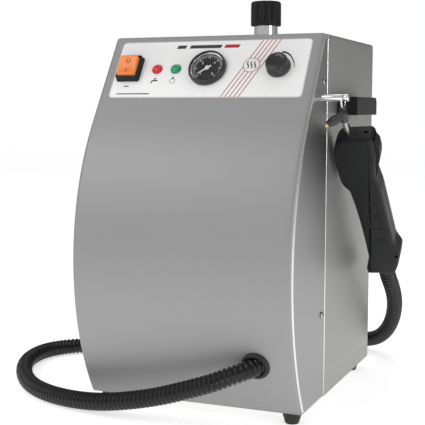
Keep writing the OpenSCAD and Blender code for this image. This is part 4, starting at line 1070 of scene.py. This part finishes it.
@dataclass
class Handpiece:
    """The trigger handpiece, in its own frame: z up the grip, x to the lever."""

    lean: float = radians(41.7)
    splay: float = radians(3.4)
    joint: tuple[float, float, float] = (5.0, -18.0, 274.5)
    hook: tuple[float, float, float] = (157.5, -34.0, 324.4)
    depth: float = 27.0

    def place(self) -> Place:
        """The handpiece's frame in the cabinet's frame."""
        def turn(q: Points) -> Points:
            """Leans a vector back about x, then splays it about y."""
            y = q[1] * cos(self.lean) - q[2] * sin(self.lean)
            z = q[1] * sin(self.lean) + q[2] * cos(self.lean)
            return np.array([q[0] * cos(self.splay) - z * sin(self.splay), y,
                             q[0] * sin(self.splay) + z * cos(self.splay)])

        origin = np.array(self.hook) - turn(np.array(self.joint))
        ax = [turn(np.eye(3)[i]) for i in range(3)]
        return Place(tuple(origin * MM), *(tuple(a) for a in ax))

    def outline(self) -> Points:
        """The grip's silhouette (x, z), its corners rounded."""
        pts = [(-21.5, 0), (-21, 10), (-14.5, 26), (-13, 60), (-12.5, 95), (-13, 125), (-14.5, 150), (-20, 158),
               (-22, 166), (-22, 195), (-20.5, 213), (-17, 223), (-10, 231), (25, 231), (28, 227), (27.5, 205),
               (24, 190), (21, 174), (23, 150), (22.6, 100), (22.2, 56), (27.5, 38), (20, 14), (14, 0)]
        o = rounded_loop(pts[::-1], 4.0, 6)
        return o * MM

    def shell(self, place: Place) -> bpy.types.Object:
        """The grip: the outline carried from front to back, drawn in near the faces.

        At depth y the outline moves in by e (1 - cos u), with y = h - e + e sin u,
        so that its long edges are rolled with the radius e.
        """
        o = self.outline()
        if area(o) < 0:
            o = o[::-1]
        t = unit(np.roll(o, -1, 0) - np.roll(o, 1, 0))
        inward = np.column_stack([-t[:, 1], t[:, 0]])
        h, e = self.depth / 2 * MM, 4.2 * MM
        u = np.linspace(0, pi / 2, 7)
        half = [(e * (1 - cos(k)), h - e + e * sin(k)) for k in u]
        stack = [(d, -y) for d, y in half[::-1]] + half
        rings = np.stack([np.column_stack([o[:, 0] + inward[:, 0] * d, np.full(len(o), y),
                                           o[:, 1] + inward[:, 1] * d])
                          for d, y in stack])
        obj = tube_piece("grip_shell", place.at(rings), angle=32)
        behind = tuple(-np.array(place.z))
        recess = rounded_loop([(15.6, 170.8), (34, 170.8), (34, 227.2), (15.6, 227.2)], 2, 4) * MM
        cuts = [
            turned("lug_cut", np.array([(2.3, -20.0), (2.3, 20.0)]) * MM,
                   Place(tuple(place.at(np.array([21.5, 0, 34]) * MM)), place.x, behind, place.y), 32),
            turned("end_cut", np.array([(2.2, -6.0), (2.2, 6.0)]) * MM,
                   place.moved(19 * MM, 1 * MM, 231 * MM), 32),
            slab("lever_cut", recess, -9.3 * MM, 9.3 * MM,
                 0.1 * MM, Place(place.origin, place.x, place.z, tuple(-np.array(place.y)))),
        ]
        obj = carved(obj, cuts, 32)
        return obj

    def hollows(self, place: Place) -> list[bpy.types.Object]:
        """Finger pads on the flat face, each a raised rim round a rounded rectangle.

        A rim is 2.2 mm wide and stands 0.5 mm out of the face.
        """
        made = []
        for i, (z0, z1) in enumerate([(44, 62), (66, 84), (88, 106), (110, 128)]):
            line = rounded_loop([(-1, z0), (15, z0), (16, z1), (-1, z1)], 3.2, 6) * MM
            face = Place(tuple(place.at([0, -13.5 * MM, 0])), place.x, place.z, tuple(-np.array(place.y)))
            t = unit(np.roll(line, -1, 0) - np.roll(line, 1, 0))
            flat = np.zeros(len(line))
            out = np.column_stack([-t[:, 1], t[:, 0], flat])[:, None]
            a = np.linspace(0, 2 * pi, 8, endpoint=False)[None, :, None]
            rows = np.column_stack([line, flat])[:, None] + 1.1 * MM * (
                np.cos(a) * out + 0.45 * np.sin(a) * np.array([0, 0, 1.0]))
            made.append(tube_piece(f"finger_rim_{i}", face.at(rows), False, looped=True, angle=60))
        return made

    def build(self) -> None:
        """Makes the grip, lever, lance, elbow, nozzle and ring."""
        place = self.place()
        shell = self.shell(place)
        HAND_BLACK.dress(shell)
        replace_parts(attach(shell, "handpiece"), "grip_front", "grip_rear")
        seam = self.parting(place)
        rims = self.hollows(place)
        HAND_BLACK.dress(seam, *rims)
        for o in (seam, *rims):
            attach(o, "handpiece")
        lever = softened("thumb_lever", "thumb_lever_moulding", 0.7 * MM, 25, 3)
        HAND_BLACK.dress(lever)
        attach(lever, "lever")
        tube = softened("lance_tube", "lance_rod", 0.3 * MM, 40, 2)
        LANCE.dress(tube)
        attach(tube, "handpiece")
        collar = turned("lance_collar", rounded_line(
            [(4.0 * MM, 0.0), (7.0 * MM, 0.0), (7.0 * MM, 1.2 * MM), (5.6 * MM, 2.4 * MM),
             (4.0 * MM, 2.6 * MM)],
            0.5 * MM, 4), self.lance_place(place), 40, capped=False)
        TRIM_BLACK.dress(collar)
        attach(collar, "handpiece")
        for node, width in (("nozzle_elbow", 0.5), ("nozzle_body", 0.4)):
            obj = softened(node, f"{node}_metal", width * MM, 30, 2)
            NOZZLE.dress(obj)
            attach(obj, "handpiece")
        tip = softened("nozzle_tip", "nozzle_tip_brass", 0.2 * MM, 30, 2)
        BRASS.dress(tip)
        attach(tip, "handpiece")
        self.wire_ring()
        BRASS.dress_nodes("steam_union")
        TRIM_BLACK.dress_nodes("microswitch")
        WHITE.dress_nodes("switch_plunger")

    def lance_place(self, place: Place) -> Place:
        """Where the lance leaves the grip's end face, z along the lance."""
        foot, joint = np.array([0.0, 0.0, 225.0]), np.array(self.joint)
        d = unit(joint - foot)
        at = foot + d * (6.2 / d[2])
        z = Vector(place.at(d) - np.array(place.origin))
        x = z.orthogonal().normalized()
        return Place(tuple(place.at(at * MM)), tuple(x), tuple(z.cross(x)), tuple(z))

    def parting(self, place: Place) -> bpy.types.Object:
        """A fine raised bead round the grip where its two shells meet."""
        o = self.outline()
        if area(o) < 0:
            o = o[::-1]
        o = o[(o[:, 0] < 16 * MM) | (o[:, 1] < 165 * MM)]
        t = unit(np.gradient(o, axis=0))
        n = np.column_stack([t[:, 1], -t[:, 0]])
        a = np.linspace(0, 2 * pi, 6, endpoint=False)
        r = 0.28 * MM
        flat = np.column_stack([o[:, 0], np.zeros(len(o)), o[:, 1]])
        out = np.column_stack([n[:, 0], np.zeros(len(o)), n[:, 1]])
        rows = flat[:, None] + r * (np.cos(a)[None, :, None] * out[:, None]
                                    + np.sin(a)[None, :, None] * np.array([0, 1.0, 0]))
        return tube_piece("grip_parting_bead", place.at(rows), True, angle=60)

    def wire_ring(self) -> None:
        """The hanging ring: a torus of wire in the peg's groove."""
        centre = np.array([157.5, -34.0, 339.15]) * MM
        a = np.linspace(0, 2 * pi, 64, endpoint=False)[:, None]
        b = np.linspace(0, 2 * pi, 16, endpoint=False)[None]
        r, w = 7.75 * MM, 1.0 * MM
        out = r + w * np.cos(b)
        rows = centre + np.stack([w * np.sin(b) + 0 * a, out * np.cos(a), out * np.sin(a)], -1)
        ring = tube_piece("hang_ring_wire", rows, False, looped=True, angle=60)
        POLISHED.dress(ring)
        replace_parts(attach(ring, "handpiece"), "hang_ring")


# ---------------------------------------------------------------- hose


@dataclass
class Hose:
    """The corrugated steam hose, from the front grommet round to the grip."""

    radius: float = 10.4 * MM
    pitch: float = 5.6 * MM
    groove: float = 1.9 * MM
    rest: float = -4.5
    outlet: tuple[float, float, float] = (85.0, -105.856, 57.0)
    foot: tuple[float, float, float] = (163.967, 162.245, 131.241)

    def controls(self) -> Points:
        """The route's corners in millimetres: outlet, floor, and up to the grip."""
        s = self.rest
        start = np.array([[2, 4, 0], [-3, -6, -2], [-11, -15, -5], [-24, -21, -10],
                          [-42, -24, -18]]) + self.outlet
        middle = [[18, -129, 30], [-20, -127, 17], [-60, -124, 7], [-98, -120, 0], [-136, -113, -3],
                  [-176, -99, s], [-213, -77, s], [-246, -43, s], [-276, 2, s], [-292, 42, s],
                  [-296, 80, s], [-286, 108, s],
                  [-266, 130, s], [-236, 152, s], [-200, 180, s], [-164, 214, s], [-120, 246, s], [-64, 276, s],
                  [-4, 298, s], [46, 311, s], [84, 313, -3], [110, 306, 1]]
        end = np.array([[-35, 129, -121.5], [-19, 110, -104.5], [-7, 87, -81.5], [0, 62, -56.5],
                        [2, 35, -33.5]]) + self.foot
        down = Handpiece().place().at(np.array([[0, 0, -24], [0, 0, -0.3]]) * MM) / MM
        return np.concatenate([start, middle, end, down])

    def centreline(self, step: float) -> Points:
        """A smooth line through the route, evenly spaced.

        Between the middles of two stretches the line is the quadratic with the
        corner between them, so it leaves and enters each stretch along it.
        """
        p = self.controls() * MM
        mid = (p[1:] + p[:-1]) / 2
        t = np.linspace(0, 1, 30)[None, :-1, None]
        a, b, c = mid[:-1, None], p[1:-1, None], mid[1:, None]
        line = ((1 - t) ** 2 * a + 2 * t * (1 - t) * b + t**2 * c).reshape(-1, 3)
        line = np.concatenate([p[:1], line, mid[-1:], p[-1:]])
        s = np.concatenate([[0], np.cumsum(np.linalg.norm(np.diff(line, axis=0), axis=1))])
        q = np.linspace(0, s[-1], int(s[-1] / step) + 1)
        return np.column_stack([np.interp(q, s, line[:, i]) for i in range(3)])

    def length(self) -> float:
        """Length of the centreline in metres."""
        line = self.centreline(1 * MM)
        return float(np.linalg.norm(np.diff(line, axis=0), axis=1).sum())

    def build(self) -> None:
        """The radius at s along the hose is R - g (0.5 - 0.5 cos(2 pi s / pitch))^2,
        wide rounded ribs with narrow grooves between them.
        """
        line = self.centreline(self.pitch / 7)
        line[:, 2] = np.maximum(line[:, 2], (-15 + 10.4 + 0.05) * MM)
        t = unit(np.gradient(line, axis=0))
        k = 25
        t = unit(np.stack([np.convolve(np.pad(t[:, i], k // 2, "edge"), np.ones(k) / k, "valid")
                           for i in range(3)], 1))
        side = unit(np.cross(t, [0, 0, 1.0]))
        top = np.cross(side, t)
        s = np.arange(len(line)) * self.pitch / 7
        rib = (0.5 - 0.5 * np.cos(2 * pi * s / self.pitch)) ** 2.2
        r = self.radius - self.groove * rib
        a = np.linspace(0, 2 * pi, 24, endpoint=False)
        rows = line[:, None] + r[:, None, None] * (np.cos(a)[None, :, None] * side[:, None]
                                                   + np.sin(a)[None, :, None] * top[:, None])
        obj = tube_piece("steam_hose_ribbed", rows, angle=70)
        HOSE_BLACK.dress(obj)
        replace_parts(obj, "steam_hose")
        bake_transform(obj)
        self.length()
        self.grommet()
        self.cuff()

    def grommet(self) -> None:
        """The rubber ring round the outlet, lying on the curved sheet."""
        dip = radians(19.1)
        place = Place(tuple(np.array(self.outlet) * MM), (1, 0, 0), (0, -sin(dip), cos(dip)),
                      (0, -cos(dip), -sin(dip)))
        line = rounded_line([(11.0 * MM, -4 * MM), (14.4 * MM, -4 * MM), (14.4 * MM, 0.1 * MM),
                             (16 * MM, 0.1 * MM), (16 * MM, 1.4 * MM), (14.6 * MM, 3.2 * MM),
                             (12.2 * MM, 3.4 * MM), (11.0 * MM, 2.2 * MM)], 1.0 * MM, 6)
        ring = turned("hose_grommet_ring", line, place, 64, capped=False)
        RUBBER.dress(ring)
        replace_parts(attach(ring, "cabinet"), "hose_grommet")

    def cuff(self) -> None:
        """A short plain collar where the hose enters the grip's foot."""
        place = Handpiece().place()
        line = rounded_line([(9.2 * MM, 1.0 * MM), (12.0 * MM, 1.0 * MM), (12.0 * MM, -1.6 * MM),
                             (10.9 * MM, -3.4 * MM), (9.2 * MM, -3.4 * MM)], 0.8 * MM, 5)
        ring = turned("hose_end_collar", line, place, 48, capped=False)
        TRIM_BLACK.dress(ring)
        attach(ring, "handpiece")


# ---------------------------------------------------------------- back and inside


@dataclass
class BackFittings:
    """Inlet and drain on the back plate, and the plumbing behind the sheet."""

    def build(self) -> None:
        """Dresses what stays as it is and rolls the edges of what shows."""
        inlet = softened("power_inlet", "power_inlet_moulding", 0.5 * MM, 40, 2)
        TRIM_BLACK.dress(inlet)
        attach(inlet, "cabinet")
        valve = softened("drain_valve", "drain_valve_brass", 0.5 * MM, 35, 2)
        BRASS.dress(valve)
        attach(valve, "cabinet")
        lever = softened("drain_lever", "drain_lever_moulding", 0.6 * MM, 35, 2)
        RED_PLASTIC.dress(lever)
        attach(lever, "drain")
        BRASS.dress_nodes("steam_valve")
        COPPER.dress_nodes("steam_pipe", "heating_element")
        TANK.dress_nodes("boiler_tank")
        BLUE_PLASTIC.dress_nodes("pressure_switch")


# ---------------------------------------------------------------- stage


@dataclass
class Studio:
    """Pale floor, soft light and the camera."""

    lens: float = 85.606
    eye: tuple[float, float, float] = (0.44442, -1.10426, 0.33007)
    yaw: float = radians(22.314)
    pitch: float = radians(5.822)
    roll: float = radians(-0.146)

    def camera(self) -> None:
        """The camera: it looks yaw to the left of +y and pitch down."""
        data = bpy.data.cameras.new("camera")
        data.lens, data.sensor_width, data.clip_end = self.lens, 36.0, 60.0
        obj = bpy.data.objects.new("camera", data)
        turn = Matrix.Rotation(self.yaw, 4, "Z") @ Matrix.Rotation(radians(90) - self.pitch, 4, "X")
        obj.matrix_world = Matrix.Translation(self.eye) @ turn @ Matrix.Rotation(-self.roll, 4, "Z")
        bpy.context.scene.collection.objects.link(obj)
        bpy.context.scene.camera = obj

    def floor(self) -> None:
        """A wide pale floor just under the feet."""
        v = np.array([(-6, -6, 0), (6, -6, 0), (6, 6, 0), (-6, 6, 0)], float)
        v[:, 2] = -15.05 * MM
        obj = new_piece("floor", v, [(0, 1, 2, 3)], closed=False)
        FLOOR.dress(obj)

    def light(self, name: str, at: tuple[float, float, float], to: tuple[float, float, float], size: float,
              power: float) -> None:
        """A square area light at a point, facing another."""
        data = bpy.data.lights.new(name, "AREA")
        data.shape, data.size, data.energy = "SQUARE", size, power
        obj = bpy.data.objects.new(name, data)
        way = Vector(to) - Vector(at)
        obj.matrix_world = Matrix.Translation(at) @ way.to_track_quat("-Z", "Y").to_matrix().to_4x4()
        bpy.context.scene.collection.objects.link(obj)

    def sky(self) -> None:
        """White surroundings, dimmer behind the object, as in a small studio."""
        world = bpy.data.worlds.new("studio")
        world.use_nodes = True
        bpy.context.scene.world = world
        tree = world.node_tree
        tree.nodes.clear()
        out = tree.nodes.new("ShaderNodeOutputWorld")
        seen, lit = tree.nodes.new("ShaderNodeBackground"), tree.nodes.new("ShaderNodeBackground")
        pick, path = tree.nodes.new("ShaderNodeMixShader"), tree.nodes.new("ShaderNodeLightPath")
        seen.inputs["Color"].default_value, seen.inputs["Strength"].default_value = (1, 1, 1, 1), 1.0
        coords, split = tree.nodes.new("ShaderNodeTexCoord"), tree.nodes.new("ShaderNodeSeparateXYZ")
        ramp = tree.nodes.new("ShaderNodeMapRange")
        ramp.inputs["From Min"].default_value, ramp.inputs["From Max"].default_value = -0.5, 0.9
        ramp.inputs["To Min"].default_value, ramp.inputs["To Max"].default_value = 0.62, 0.28
        tree.links.new(coords.outputs["Generated"], split.inputs[0])
        tree.links.new(split.outputs["Y"], ramp.inputs["Value"])
        tree.links.new(ramp.outputs[0], lit.inputs["Strength"])
        tree.links.new(path.outputs["Is Camera Ray"], pick.inputs[0])
        tree.links.new(lit.outputs[0], pick.inputs[1])
        tree.links.new(seen.outputs[0], pick.inputs[2])
        tree.links.new(pick.outputs[0], out.inputs[0])

    def build(self) -> None:
        """Sets camera, floor, surroundings and three soft lights."""
        bpy.context.scene.view_settings.view_transform = "Standard"
        self.camera()
        self.floor()
        self.sky()
        self.light("key", (-1.2, -1.6, 1.7), (0, 0, 0.2), 1.4, 14)
        self.light("edge", (2.3, -0.95, 0.55), (0.1, 0, 0.25), 0.7, 11)
        self.light("top", (0.1, 0.5, 2.2), (0, 0, 0.2), 1.6, 8)


def main() -> None:
    """Builds every sub-assembly in order and reports each."""
    logging.basicConfig(level=logging.INFO, format="%(name)s %(message)s")
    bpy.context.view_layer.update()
    for part in (Studio(), Hose(), Cabinet(), Screws(), Feet(), PanelLabel(), RockerSwitch(),
                 Lamp("lamp_red", -63.5 * MM, RED_LENS), Lamp("lamp_green", -40 * MM, GREEN_LENS),
                 PressureGauge(), ControlKnob(), Filler(), HangerPeg(), CarryHandles(), Handpiece(),
                 BackFittings()):
        part.build()
        LOG.info("built %s", type(part).__name__)


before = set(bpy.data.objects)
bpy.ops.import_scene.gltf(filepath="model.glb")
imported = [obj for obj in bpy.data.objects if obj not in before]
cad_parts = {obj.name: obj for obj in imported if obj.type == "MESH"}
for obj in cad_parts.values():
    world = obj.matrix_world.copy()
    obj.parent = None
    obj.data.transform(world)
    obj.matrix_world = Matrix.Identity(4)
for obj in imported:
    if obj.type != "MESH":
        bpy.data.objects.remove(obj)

if __name__ == "__main__":
    main()
